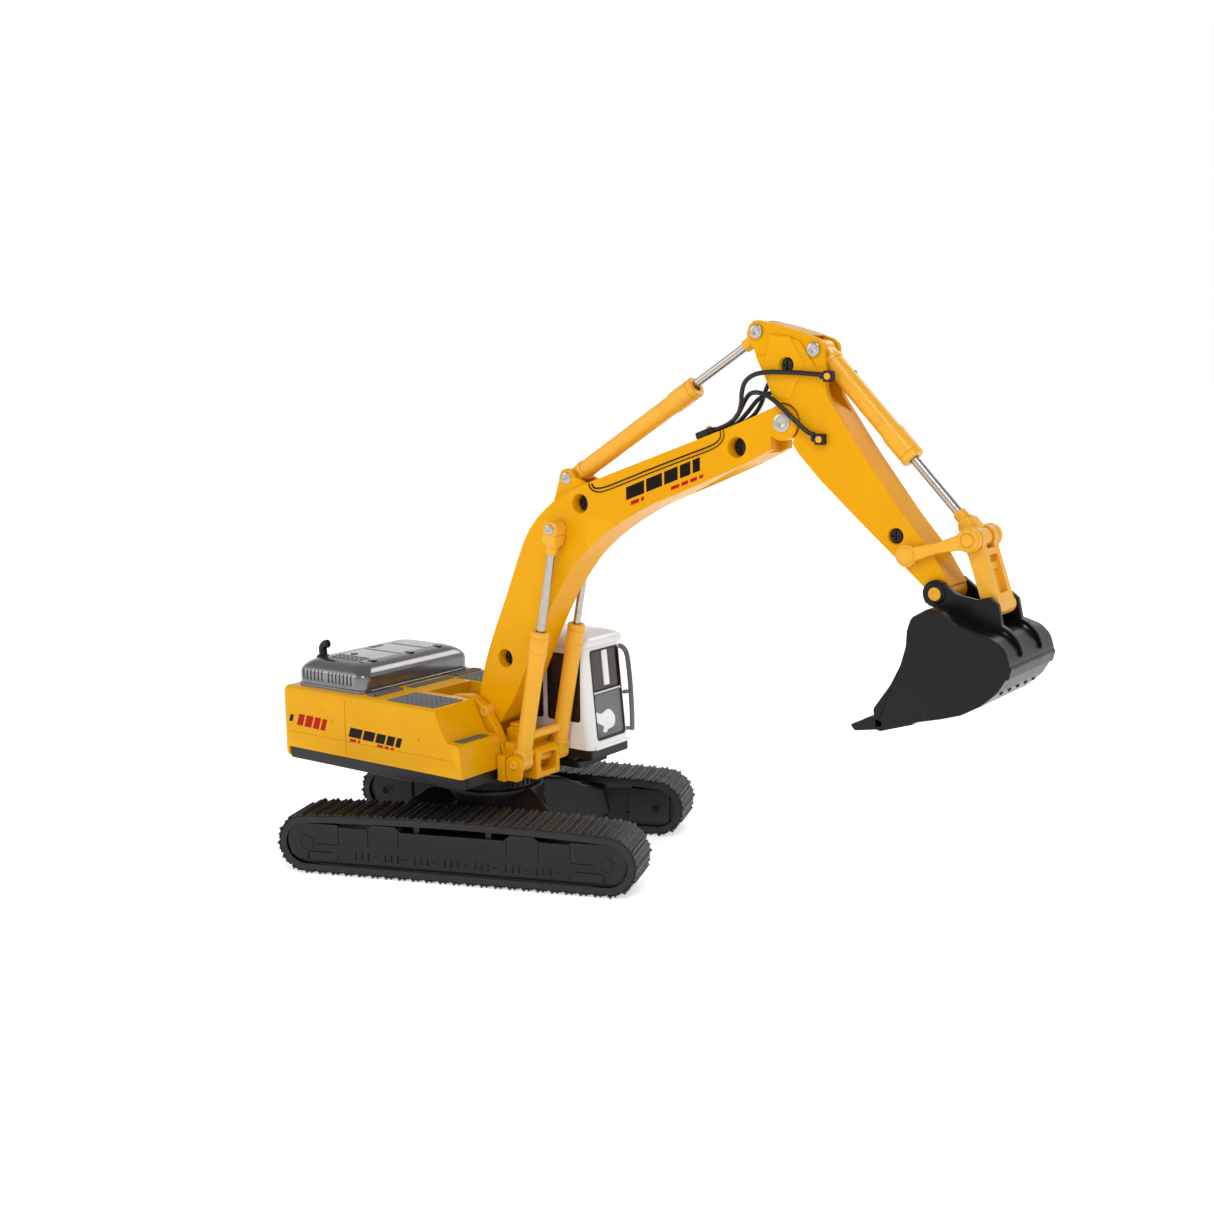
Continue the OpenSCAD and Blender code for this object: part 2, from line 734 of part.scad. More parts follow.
module boom_rod(side) {
    color("#efb545")
        place()
            aimed(boom_cyl_eye, boom_cyl_foot, side * boom_cyl_y)
                rod(46, 2.2, 4.6, 2.05);
}

stick_mouth = 43.8;
bucket_mouth = 33.3;
// Small tilt that keeps the stick cylinder's rod inside its barrel over the stick's whole swing
stick_cyl_tilt = 0.5;
module stick_barrel() {
    color("#efb545")
        place()
            aimed(stick_cyl_foot, stick_cyl_eye)
                rotate([0, stick_cyl_tilt, 0])
                    barrel(stick_mouth, 2.2, 1.95);
}

module stick_rod() {
    color("#efb545")
        place()
            aimed(stick_cyl_eye, stick_cyl_foot)
                rotate([0, stick_cyl_tilt, 0])
                    rod(55, 2.2, 4.4, 2.05);
}

module bucket_barrel() {
    color("#efb545")
        place()
            aimed(bucket_cyl_foot, linkage_joint)
                barrel(bucket_mouth, 2.2, 1.8);
}

module bucket_rod() {
    color("#efb545")
        place()
            aimed(linkage_joint, bucket_cyl_foot)
                rod(47, 1.7, 5.2, 2.05);
}

// ---- Stick ----

stick_outline = [[84.9, 138.6], [86.2, 136.2], [88.8, 131.2], [92.6, 123.4], [95.6, 116], [98, 112.6], [104, 106.4],
    [114.1, 97.4], [124, 88.8], [130.8, 82.9], [135, 81.4], [135.8, 84.6], [131.6, 91.2], [124.4, 99.4],
    [114.4, 112.6], [105.4, 125.4], [104.8, 131.4], [104.2, 136.6], [102.6, 138.2], [98.6, 139.6], [94.2, 140.8],
    [89, 142.4]];
stick_screw_at = [[95.2, 132.2], [122.8, 94.6]];
module stick_half(side) {
    outer = stick_w / 2;
    color("#e9a51e")
        place()
            mirror([0, side > 0 ? 0 : 1, 0])
                difference() {
                    union() {
                        side_plate(stick_outline, 0, outer);
                        y_bar(boom_tip, 3.8, 0, tongue_half);
                        y_bar(stick_cyl_eye, 2.5, 0, outer);
                        y_bar(bucket_cyl_foot, 2.6, 0, outer);
                        y_bar(bucket_pivot, 2.8, 0, outer);
                    }
                    // Recess for the boom's tip cheek
                    y_bar(boom_tip, tip_r + 0.45, tongue_half, 12);
                    side_plate([boom_tip + [0, 0], boom_tip + [-6, 3.6], boom_tip + [-10, -4], boom_tip + [-2, -10],
                        boom_tip + [3.2, -3.6]], tongue_half, 12);
                    // Fork for the eye of the stick cylinder's rod
                    y_bar(stick_cyl_eye, 3.2, -1, 2.2 + side_gap);
                    side_plate([stick_cyl_eye + [-6, -8], stick_cyl_eye + [-6, 1], stick_cyl_eye + [0, 3.2],
                        stick_cyl_eye + [1.6, -3], stick_cyl_eye + [-0.4, -5]], -1, 2.2 + side_gap);
                    // Fork for the eye of the bucket cylinder's barrel
                    y_bar(bucket_cyl_foot, 3.4, -1, 2.35 + side_gap + 0.3);
                    side_plate([bucket_cyl_foot + [0, 3.4], bucket_cyl_foot + [9, 0], bucket_cyl_foot + [9, -16],
                        bucket_cyl_foot + [1.6, -11], bucket_cyl_foot + [-3, -1]], -1, 2.35 + side_gap + 0.3);
                    // Bores
                    y_bar(boom_tip, thick_pin_r + fit_gap, -1, 12);
                    y_bar(stick_cyl_eye, pin_r, -1, 12);
                    y_bar(bucket_cyl_foot, pin_r, -1, 12);
                    y_bar(rocker_foot, pin_r, -1, 12);
                    y_bar(bucket_pivot, pin_r + fit_gap, -1, 12);
                    // Screw recesses and screw holes
                    for (at = stick_screw_at)
                        y_bar(at, side < 0 ? 2 : 0.8, side < 0 ? 3.2 : -1, side < 0 ? 12 : 3.4);
                    for (at = stick_screw_at)
                        y_bar(at, 0.8, -1, 3.3);
                }
}

module stick_screws() {
    color("#1c1c1e")
        place()
            for (at = stick_screw_at) {
                y_bar(at, 0.75, -3.3, 3.2);
                difference() {
                    y_bar(at, 1.7, -4.2, -3.2);
                    translate([at[0], -4.2, at[1]])
                        block([-1.1, -0.4, -0.22], [1.1, 0.4, 0.22]);
                    translate([at[0], -4.2, at[1]])
                        block([-0.22, -0.4, -1.1], [0.22, 0.4, 1.1]);
                }
            }
}

// Square hose ends, each on its peg: two on each flank of the stick
upper_end = [106.4, 129.6];
lower_end = [104.4, 115.6];
module hose_ends() {
    place()
        both_sides()
            for (at = [upper_end, lower_end]) {
                color("#26262a")
                    difference() {
                        translate([at[0] - 1.2, stick_w / 2, at[1] - 1.2])
                            cube([2.4, 1.5, 2.4]);
                        y_bar(at, 0.7, stick_w / 2 - 1, stick_w);
                    }
                color("#e9c24a")
                    y_bar(at, 0.7, stick_w / 2, stick_w / 2 + 1.8);
            }
}

// ---- Bucket linkage ----

rocker_in = stick_w / 2 + side_gap;
rocker_out = rocker_in + 1.6;
module rocker(side) {
    color("#efb545")
        place()
            mirror([0, side > 0 ? 0 : 1, 0])
                difference() {
                    union() {
                        y_bar(rocker_foot, 2.4, rocker_in, rocker_out);
                        y_bar(linkage_joint, 2.7, rocker_in, rocker_out);
                        aimed(rocker_foot, linkage_joint, rocker_in)
                            block([0, 0, -1.3], [norm(linkage_joint - rocker_foot), rocker_out - rocker_in, 1.3]);
                    }
                    y_bar(rocker_foot, pin_r + fit_gap, -1, 12);
                    y_bar(linkage_joint, pin_r, -1, 12);
                }
}

link_half = 4.4;
module bucket_link() {
    reach = norm(link_foot - linkage_joint);
    color("#efb545")
        place()
            difference() {
                union() {
                    aimed(linkage_joint, link_foot)
                        union() {
                            block([2.4, -3.6, -2], [reach - 1, 3.6, 2]);
                            for (side = [-1, 1])
                                block([0, side * 3.2 - 1.1, -2], [4, side * 3.2 + 1.1, 2]);
                        }
                    both_sides()
                        y_bar(linkage_joint, 2.6, 2.1, link_half - 0.1);
                    y_bar(link_foot, 1.9, -link_half, link_half);
                }
                // Sunk panel on the front
                aimed(linkage_joint, link_foot)
                    block([4.6, -1.9, 0.8], [reach - 3, 1.9, 3]);
                // Gap for the eye of the bucket cylinder's rod
                y_bar(linkage_joint, 3.3, -2.1, 2.1);
                y_bar(linkage_joint, pin_r + fit_gap, -12, 12);
            }
}

// ---- Bucket ----

bucket_outline = [[124, 53.4], [130, 55], [138, 56.9], [142.5, 58.3], [146.9, 60.8], [150.4, 64], [152.4, 67.4],
    [152.9, 70], [152, 73], [149.8, 75.1], [146.2, 76.2], [141.2, 77.8], [137.4, 80.2], [134.6, 80.6],
    [130.7, 78.3], [129.8, 75.4], [129.6, 71.8], [128.4, 67.6], [126.2, 63.2], [122.8, 58]];
bucket_inside = [[118, 52.9], [124.2, 54.8], [130, 56.4], [137.8, 58.3], [142, 59.6], [146, 61.9], [149.3, 65],
    [151, 68], [151.4, 70.2], [150.6, 72.4], [148.8, 73.8], [146, 74.8], [140.6, 76.4], [136.6, 78.8],
    [134.4, 79.1], [124, 79.1], [116, 60]];
ear_in = stick_w / 2 + 0.35;
ear_out = ear_in + 1.6;
module bucket() {
    half = bucket_w / 2;
    color("#1b1b1d")
        place()
            difference() {
                union() {
                    difference() {
                        side_plate(bucket_outline, -half, half);
                        side_plate(bucket_inside, -half + 1.3, half - 1.3);
                    }
                    // Wide cutting lip and teeth
                    side_plate([[121.4, 53], [124, 52.6], [130.6, 54.8], [130, 56.6], [124, 54.9]], -half, half);
                    for (i = [-2:2])
                        side_plate([[116.5, 53.1], [117.6, 51.7], [124.4, 53], [124.8, 54.6], [121.6, 55.6]],
                            i * (half - 1.6) / 2 - 1.6, i * (half - 1.6) / 2 + 1.6);
                    // Wear plate across the back
                    side_plate([[152.3, 67.4], [153.3, 67.9], [153.4, 69.6], [152.6, 70.2]], -half, half);
                    // Ears for the stick and the link
                    both_sides()
                        side_slab(ear_in, ear_out) {
                            translate(bucket_pivot)
                                circle(r = 3);
                            translate(link_foot)
                                circle(r = 2.6);
                            polygon([bucket_pivot + [-2.2, -2], bucket_pivot + [1.6, 2.5], bucket_pivot + [4.4, 0.6],
                                link_foot + [-2, 2], link_foot + [1.8, 1.8], [148.6, 75.2], [141.2, 77.2],
                                [136, 79.4]]);
                        }
                }
                y_bar(bucket_pivot, pin_r, -12, 12);
                // Room for the end of the stick and the foot of the link
                y_bar(bucket_pivot, 3.3, -ear_in, ear_in);
                y_bar(link_foot, 3, -ear_in, ear_in);
            }
}

// ---- Hoses ----

// Hose routes [x, y, z] on the right side; the left side is their mirror image, a little lower
clamp_mouth = [75.2, 117.2];
upper_route = [[75.4, -3.2, 117.4], [78.6, -3.3, 118.6], [81.6, -3.8, 120.6], [83.2, -4.6, 123.4], [83.8, -5.3, 126],
    [85, -5.7, 128.6], [87.6, -5.8, 130.2], [91.4, -5.8, 130.7], [96, -5.7, 130.6], [100.6, -5.5, 130.3],
    [105.2, -5.3, 129.9]];
lower_route = [[75.4, -1.4, 117.4], [78.4, -1.6, 118.8], [81, -2, 121.4], [83.4, -3, 124.4], [86, -4.8, 125.9],
    [89, -5.8, 126], [92, -5.9, 124.8], [95.4, -5.9, 122.2], [98.8, -5.8, 119.2], [101.4, -5.6, 117.2],
    [102.9, -5.3, 116.6]];

function along(route, i) = route[min(i + 1, len(route) - 1)] - route[max(i - 1, 0)];
function unit(v) = v / norm(v);
// Ring of 8 points round one route point
function ring(route, i) =
    let (t = unit(along(route, i)), a = unit(cross(t, [0, 1, 0.2])), b = cross(t, a))
        [for (k = [0:7]) route[i] + hose_d / 2 * (a * cos(45 * k) + b * sin(45 * k))];
module hose(route) {
    n = len(route);
    points = [for (i = [0:n - 1]) each ring(route, i)];
    sides = [for (i = [0:n - 2], k = [0:7])
        [8 * i + k, 8 * i + (k + 1) % 8, 8 * (i + 1) + (k + 1) % 8, 8 * (i + 1) + k]];
    ends = [[for (k = [7:-1:0]) k], [for (k = [0:7]) 8 * (n - 1) + k]];
    color("#141415")
        place()
            polyhedron(points, concat(sides, ends));
}

module mirrored_hose(route) {
    mirror([0, 1, 0])
        hose(route);
}

// ---- Parts ----

chassis();
side_frame(-1);  // side_frame_right
side_frame(1);  // side_frame_left
track(-gauge / 2);  // track_right
track(gauge / 2);  // track_left
axles();
pivot_screw();
end_wheel(-1, -1, 12);  // sprocket_right
end_wheel(1, -1, 12);  // sprocket_left
end_wheel(-1, 1, 0);  // idler_right
end_wheel(1, 1, 0);  // idler_left
deck();
base_skirt();
engine_hood();
exhaust();
cab_shell();
cab_glass();
cab_base();
cab_seat();
handrail();
grip_mats();
boom_bracket();
boom_foot_pin();
cylinder_foot_pin();
base_screws();
boom_half(-1);  // boom_right
boom_half(1);  // boom_left
boom_screws();
riveted_pin(boom_cyl_eye, pin_r, 10);  // boom_rod_pin
riveted_pin(stick_cyl_foot, pin_r, 4.1);  // stick_barrel_pin
riveted_pin(boom_tip, thick_pin_r, boom_w / 2);  // stick_pin
hose_clamp();
boom_barrels();
boom_rod(-1);  // boom_rod_right
boom_rod(1);  // boom_rod_left
stick_half(-1);  // stick_right
stick_half(1);  // stick_left
stick_screws();
riveted_pin(stick_cyl_eye, pin_r, stick_w / 2);  // stick_rod_pin
riveted_pin(bucket_cyl_foot, pin_r, stick_w / 2);  // bucket_barrel_pin
riveted_pin(rocker_foot, pin_r, rocker_out);  // rocker_pin
hose_ends();
stick_barrel();
stick_rod();
bucket_barrel();
bucket_rod();
rocker(-1);  // rocker_right
rocker(1);  // rocker_left
riveted_pin(linkage_joint, pin_r, rocker_out);  // link_pin
bucket_link();
bucket();
riveted_pin(bucket_pivot, pin_r, ear_out);  // bucket_pin
hose(upper_route);  // hose_upper_right
hose(lower_route);  // hose_lower_right
mirrored_hose(upper_route);  // hose_upper_left
mirrored_hose(lower_route);  // hose_lower_left
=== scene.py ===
import json
import math

import bmesh
import bpy
from mathutils import Matrix, Vector

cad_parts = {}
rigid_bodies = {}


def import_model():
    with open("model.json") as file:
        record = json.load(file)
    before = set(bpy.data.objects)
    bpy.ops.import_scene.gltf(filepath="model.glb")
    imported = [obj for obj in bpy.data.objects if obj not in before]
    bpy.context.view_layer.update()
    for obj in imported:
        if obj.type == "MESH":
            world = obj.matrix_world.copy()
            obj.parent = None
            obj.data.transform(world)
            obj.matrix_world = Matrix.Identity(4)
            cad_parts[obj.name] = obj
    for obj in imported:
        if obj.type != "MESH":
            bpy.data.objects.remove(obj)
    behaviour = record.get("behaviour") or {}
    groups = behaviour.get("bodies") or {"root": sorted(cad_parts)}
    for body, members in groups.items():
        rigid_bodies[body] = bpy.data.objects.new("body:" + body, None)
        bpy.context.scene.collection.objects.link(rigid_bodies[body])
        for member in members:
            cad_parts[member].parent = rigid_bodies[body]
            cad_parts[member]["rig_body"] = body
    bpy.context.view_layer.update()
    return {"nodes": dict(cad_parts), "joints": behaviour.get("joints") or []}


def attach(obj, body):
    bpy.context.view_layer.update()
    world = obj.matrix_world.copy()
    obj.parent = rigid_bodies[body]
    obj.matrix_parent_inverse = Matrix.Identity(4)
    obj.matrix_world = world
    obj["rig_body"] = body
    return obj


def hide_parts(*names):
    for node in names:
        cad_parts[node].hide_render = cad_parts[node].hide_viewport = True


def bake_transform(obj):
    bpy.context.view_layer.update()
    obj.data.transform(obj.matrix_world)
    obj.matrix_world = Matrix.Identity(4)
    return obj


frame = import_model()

# Shapes are drawn in millimetres, in one of two frames: SWING has its origin where the swing axis meets
# the ground and +X the way the boom points; TURNED is the undercarriage's own frame.
MM = 0.001
JOINTS = {joint["name"]: joint for joint in frame["joints"]}
SWING_AXIS = Vector(JOINTS["swing"]["pos_m"])
SWING = Matrix.Translation((SWING_AXIS.x, SWING_AXIS.y, 0)) @ Matrix.Scale(MM, 4)
WHEEL_AXIS = Vector(JOINTS["idler_right_spin"]["axis"])
TURNED = SWING @ Matrix.Rotation(math.atan2(WHEEL_AXIS.x, -WHEEL_AXIS.y), 4, "Z")


def side_point(joint_name):
    """A joint's place in the side view, as [x, z] in the SWING frame."""
    place = SWING.inverted() @ Vector(JOINTS[joint_name]["pos_m"])
    return Vector((place.x, place.z))


BOOM_FOOT = side_point("boom_lift")
BOOM_TIP = side_point("stick_swing")
BUCKET_PIVOT = side_point("bucket_curl")
BOOM_CYL_FOOT = side_point("boom_barrel_tilt")
BOOM_CYL_EYE = side_point("boom_rod_tilt")
STICK_CYL_FOOT = side_point("stick_barrel_tilt")
STICK_CYL_EYE = side_point("stick_rod_tilt")
BUCKET_CYL_FOOT = side_point("bucket_barrel_tilt")
ROCKER_FOOT = side_point("rocker_tilt")
LINKAGE_JOINT = side_point("bucket_link_tilt")
BUCKET_FOOT = Vector((145.2, 80.4))


# ---- Camera, light and floor ----

CAMERA_FROM_SWING = Vector((0.2640, -0.3007, 0.1301))
CAMERA_YAW = 36.68
CAMERA_PITCH = 8.89
CAMERA_ROLL = -0.80
CAMERA_LENS = 43.6
SENSOR = 36.0
SKY_TOP = 0.45
FLOOR_GLOW = 0.52
FLOOR_HALF = 3.0
FLOOR_TONE = 0.92
SKY_FADE = {"From Min": 0.28, "From Max": 0.75, "To Min": 1.0, "To Max": SKY_TOP}
LIGHTS_AIM = (0.0, 0.0, 0.05)
# Name, place, size and power of each soft light
LIGHTS = (("key", (0.30, -0.50, 0.70), 0.22, 1.85), ("fill", (-0.55, -0.45, 0.35), 0.35, 0.55),
          ("rim", (0.1, 0.6, 0.6), 0.3, 1.2))


def make_camera():
    """The photograph's view: a level yaw and pitch, then a small roll."""
    yaw, pitch, roll = (math.radians(a) for a in (CAMERA_YAW, CAMERA_PITCH, CAMERA_ROLL))
    forward = Vector((-math.sin(yaw) * math.cos(pitch), math.cos(yaw) * math.cos(pitch), -math.sin(pitch)))
    level = Vector((math.cos(yaw), math.sin(yaw), 0))
    above = level.cross(forward)
    right = math.cos(roll) * level + math.sin(roll) * above
    up = -math.sin(roll) * level + math.cos(roll) * above
    data = bpy.data.cameras.new("camera")
    data.lens = CAMERA_LENS
    data.sensor_width = SENSOR
    data.clip_start = 0.01
    camera = bpy.data.objects.new("camera", data)
    turn = Matrix((right, up, -forward)).transposed().to_4x4()
    camera.matrix_world = Matrix.Translation(SWING_AXIS + CAMERA_FROM_SWING) @ turn
    bpy.context.scene.collection.objects.link(camera)
    bpy.context.scene.camera = camera


def make_area_light(name, place, aim, size, power):
    data = bpy.data.lights.new(name, "AREA")
    data.shape = "SQUARE"
    data.size = size
    data.energy = power
    light = bpy.data.objects.new(name, data)
    light.location = place
    light.rotation_euler = (Vector(aim) - Vector(place)).to_track_quat("-Z", "Y").to_euler()
    bpy.context.scene.collection.objects.link(light)


def make_stage():
    world = bpy.data.worlds.new("studio")
    world.use_nodes = True
    # White near the horizon, dimmer overhead, so that round edges get contrast
    tree = world.node_tree
    direction = tree.nodes.new("ShaderNodeSeparateXYZ")
    tree.links.new(tree.nodes.new("ShaderNodeTexCoord").outputs["Generated"], direction.inputs["Vector"])
    fade = tree.nodes.new("ShaderNodeMapRange")
    tree.links.new(direction.outputs["Z"], fade.inputs["Value"])
    for socket, number in SKY_FADE.items():
        fade.inputs[socket].default_value = number
    tree.links.new(fade.outputs["Result"], tree.nodes["Background"].inputs["Strength"])
    tree.nodes["Background"].inputs["Color"].default_value = (1.0, 1.0, 1.0, 1.0)
    bpy.context.scene.world = world
    bpy.context.scene.view_settings.view_transform = "Standard"
    for name, place, size, power in LIGHTS:
        make_area_light(name, place, LIGHTS_AIM, size, power)
    mesh = bpy.data.meshes.new("floor")
    corners = [(x * FLOOR_HALF, y * FLOOR_HALF, 0) for x, y in ((-1, -1), (1, -1), (1, 1), (-1, 1))]
    mesh.from_pydata(corners, [], [(0, 1, 2, 3)])
    floor = bpy.data.objects.new("floor", mesh)
    bpy.context.scene.collection.objects.link(floor)
    material = bpy.data.materials.new("floor_white")
    material.use_nodes = True
    shader = material.node_tree.nodes["Principled BSDF"]
    shader.inputs["Base Color"].default_value = (FLOOR_TONE, FLOOR_TONE, FLOOR_TONE, 1.0)
    shader.inputs["Roughness"].default_value = 0.9
    shader.inputs["Emission Color"].default_value = (1.0, 1.0, 1.0, 1.0)
    shader.inputs["Emission Strength"].default_value = FLOOR_GLOW
    mesh.materials.append(material)


make_camera()
make_stage()


# ---- Materials ----

def linear(colour):
    """An sRGB colour, 0 to 255, as the linear RGBA that shaders take."""
    parts = [c / 255 for c in colour]
    return [p / 12.92 if p <= 0.04045 else ((p + 0.055) / 1.055) ** 2.4 for p in parts] + [1.0]


EDGE_POINTINESS = (0.52, 0.62)


class Graph:
    """Short names for the shader nodes that the materials share. Noise sizes are in millimetres."""

    def __init__(self, name):
        self.material = bpy.data.materials.new(name)
        self.material.use_nodes = True
        self.tree = self.material.node_tree
        self.shader = self.tree.nodes["Principled BSDF"]
        self.place = self.node("ShaderNodeTexCoord").outputs["Object"]

    def node(self, kind, **settings):
        node = self.tree.nodes.new(kind)
        for key, value in settings.items():
            setattr(node, key, value)
        return node

    def link(self, source, socket):
        self.tree.links.new(source, socket)

    def noise(self, size, detail=3.0, stretch=(1, 1, 1), roughness=0.5):
        mapping = self.node("ShaderNodeMapping")
        mapping.inputs["Scale"].default_value = stretch
        self.link(self.place, mapping.inputs["Vector"])
        noise = self.node("ShaderNodeTexNoise")
        noise.inputs["Scale"].default_value = 1 / (size * MM)
        noise.inputs["Detail"].default_value = detail
        noise.inputs["Roughness"].default_value = roughness
        self.link(mapping.outputs["Vector"], noise.inputs["Vector"])
        return noise.outputs["Fac"]

    def cells(self, size):
        cells = self.node("ShaderNodeTexVoronoi")
        cells.inputs["Scale"].default_value = 1 / (size * MM)
        self.link(self.place, cells.inputs["Vector"])
        return cells.outputs["Distance"]

    def spread(self, value, low, high, to_low=0.0, to_high=1.0):
        node = self.node("ShaderNodeMapRange")
        self.link(value, node.inputs["Value"])
        for key, number in (("From Min", low), ("From Max", high), ("To Min", to_low), ("To Max", to_high)):
            node.inputs[key].default_value = number
        return node.outputs["Result"]

    def math(self, operation, a, b):
        node = self.node("ShaderNodeMath", operation=operation)
        for socket, value in zip(node.inputs, (a, b)):
            if isinstance(value, (int, float)):
                socket.default_value = value
            else:
                self.link(value, socket)
        return node.outputs["Value"]

    def blend(self, factor, a, b):
        node = self.node("ShaderNodeMix", data_type="RGBA")
        self.link(factor, node.inputs["Factor"])
        for socket, value in ((node.inputs[6], a), (node.inputs[7], b)):
            if isinstance(value, (list, tuple)):
                socket.default_value = value
            else:
                self.link(value, socket)
        return node.outputs[2]

    def edges(self):
        """1 on sharp outer edges, 0 elsewhere."""
        return self.spread(self.node("ShaderNodeNewGeometry").outputs["Pointiness"], *EDGE_POINTINESS)

    def bumps(self, *layers):
        """Each layer is a height, its strength and its depth in millimetres."""
        normal = None
        for height, strength, depth in layers:
            bump = self.node("ShaderNodeBump")
            bump.inputs["Strength"].default_value = strength
            bump.inputs["Distance"].default_value = depth * MM
            self.link(height, bump.inputs["Height"])
            if normal:
                self.link(normal, bump.inputs["Normal"])
            normal = bump.outputs["Normal"]
        self.link(normal, self.shader.inputs["Normal"])

    def set(self, **values):
        for key, value in values.items():
            self.shader.inputs[key.replace("_", " ")].default_value = value


def moulded_plastic(name, colour, shade, wear, roughness, coat=0.0, grain=0.06, grain_size=0.35, gloss=0.3):
    """Moulded or painted surface: slow colour drift, fine orange peel, dust specks and lighter worn edges."""
    graph = Graph(name)
    drift = graph.noise(14, 4)
    fine = graph.noise(grain_size, 5)
    specks = graph.spread(graph.cells(1.9), 0.0, 0.045, 1.0, 0.0)
    base = graph.blend(graph.spread(drift, 0.3, 0.7), linear(shade), linear(colour))
    worn = graph.blend(graph.math("MULTIPLY", graph.edges(), 0.2), base, linear(wear))
    dusty = graph.blend(graph.math("MULTIPLY", specks, 0.1), worn, linear(wear))
    graph.link(dusty, graph.shader.inputs["Base Color"])
    smudges = graph.noise(5, 6, roughness=0.65)
    graph.link(graph.spread(smudges, 0.3, 0.7, roughness - 0.04, roughness + 0.05),
               graph.shader.inputs["Roughness"])
    graph.bumps((drift, 0.03, 0.1), (fine, grain, 0.012))
    graph.set(Coat_Weight=coat, Coat_Roughness=0.05, Specular_IOR_Level=gloss)
    return graph.material


def polished_metal(name, colour, shade, roughness, stretch):
    """Turned or drawn metal: fine streaks across the stretch axis, and a few dull patches."""
    graph = Graph(name)
    streaks = graph.noise(0.16, 6, stretch, 0.7)
    dull = graph.noise(2.5, 4)
    base = graph.blend(graph.spread(streaks, 0.3, 0.7), linear(shade), linear(colour))
    graph.link(base, graph.shader.inputs["Base Color"])
    worn = graph.math("ADD", graph.spread(streaks, 0.2, 0.8, roughness - 0.04, roughness + 0.06),
                      graph.spread(dull, 0.5, 0.8, 0.0, 0.12))
    graph.link(worn, graph.shader.inputs["Roughness"])
    graph.bumps((streaks, 0.12, 0.01))
    graph.set(Metallic=1.0, Anisotropic=0.4)
    return graph.material


def metallic_paint():
    """Dark metallic paint: small flakes under a clear coat, lighter on worn edges."""
    graph = Graph("gunmetal")
    flakes = graph.cells(0.22)
    drift = graph.noise(9, 4)
    base = graph.blend(graph.spread(flakes, 0.0, 0.5), linear((124, 122, 122)), linear((104, 102, 103)))
    tone = graph.blend(graph.spread(drift, 0.3, 0.7, 0.0, 0.3), base, linear((92, 90, 90)))
    worn = graph.blend(graph.math("MULTIPLY", graph.edges(), 0.3), tone, linear((160, 159, 160)))
    graph.link(worn, graph.shader.inputs["Base Color"])
    graph.link(graph.spread(drift, 0.3, 0.7, 0.17, 0.25), graph.shader.inputs["Roughness"])
    graph.bumps((flakes, 0.03, 0.005), (graph.noise(0.7, 4), 0.03, 0.01))
    graph.set(Metallic=0.8, Coat_Weight=0.5, Coat_Roughness=0.08)
    return graph.material


def worn_rubber(name, colour, dust, roughness):
    """Matt rubber: mottled, with pale brown dust on what faces up."""
    graph = Graph(name)
    mottle = graph.noise(2.2, 6, roughness=0.65)
    grain = graph.noise(0.25, 5)
    facing = graph.node("ShaderNodeSeparateXYZ")
    graph.link(graph.node("ShaderNodeNewGeometry").outputs["Normal"], facing.inputs["Vector"])
    upward = graph.spread(facing.outputs["Z"], 0.5, 1.0, 0.0, 0.3)
    base = graph.blend(graph.spread(mottle, 0.3, 0.7), linear(colour), linear([c * 0.72 for c in colour]))
    dusty = graph.blend(graph.math("MULTIPLY", upward, graph.spread(mottle, 0.4, 0.7, 0.0, 0.5)), base,
                        linear(dust))
    worn = graph.blend(graph.math("MULTIPLY", graph.edges(), 0.35), dusty, linear(dust))
    graph.link(worn, graph.shader.inputs["Base Color"])
    graph.link(graph.spread(mottle, 0.3, 0.7, roughness - 0.08, roughness + 0.1),
               graph.shader.inputs["Roughness"])
    graph.bumps((mottle, 0.1, 0.05), (grain, 0.15, 0.02))
    graph.set(Specular_IOR_Level=0.4)
    return graph.material


def smoked_glass():
    """Brown tinted clear plastic with slow ripples."""
    graph = Graph("smoked_glass")
    ripple = graph.noise(6, 3)
    tint = graph.blend(graph.spread(ripple, 0.3, 0.7), linear((112, 92, 80)), linear((86, 72, 64)))
    graph.link(tint, graph.shader.inputs["Base Color"])
    graph.link(graph.spread(graph.noise(1.5, 5), 0.3, 0.7, 0.03, 0.09), graph.shader.inputs["Roughness"])
    graph.bumps((ripple, 0.06, 0.1))
    graph.set(Transmission_Weight=0.8, IOR=1.49)
    return graph.material


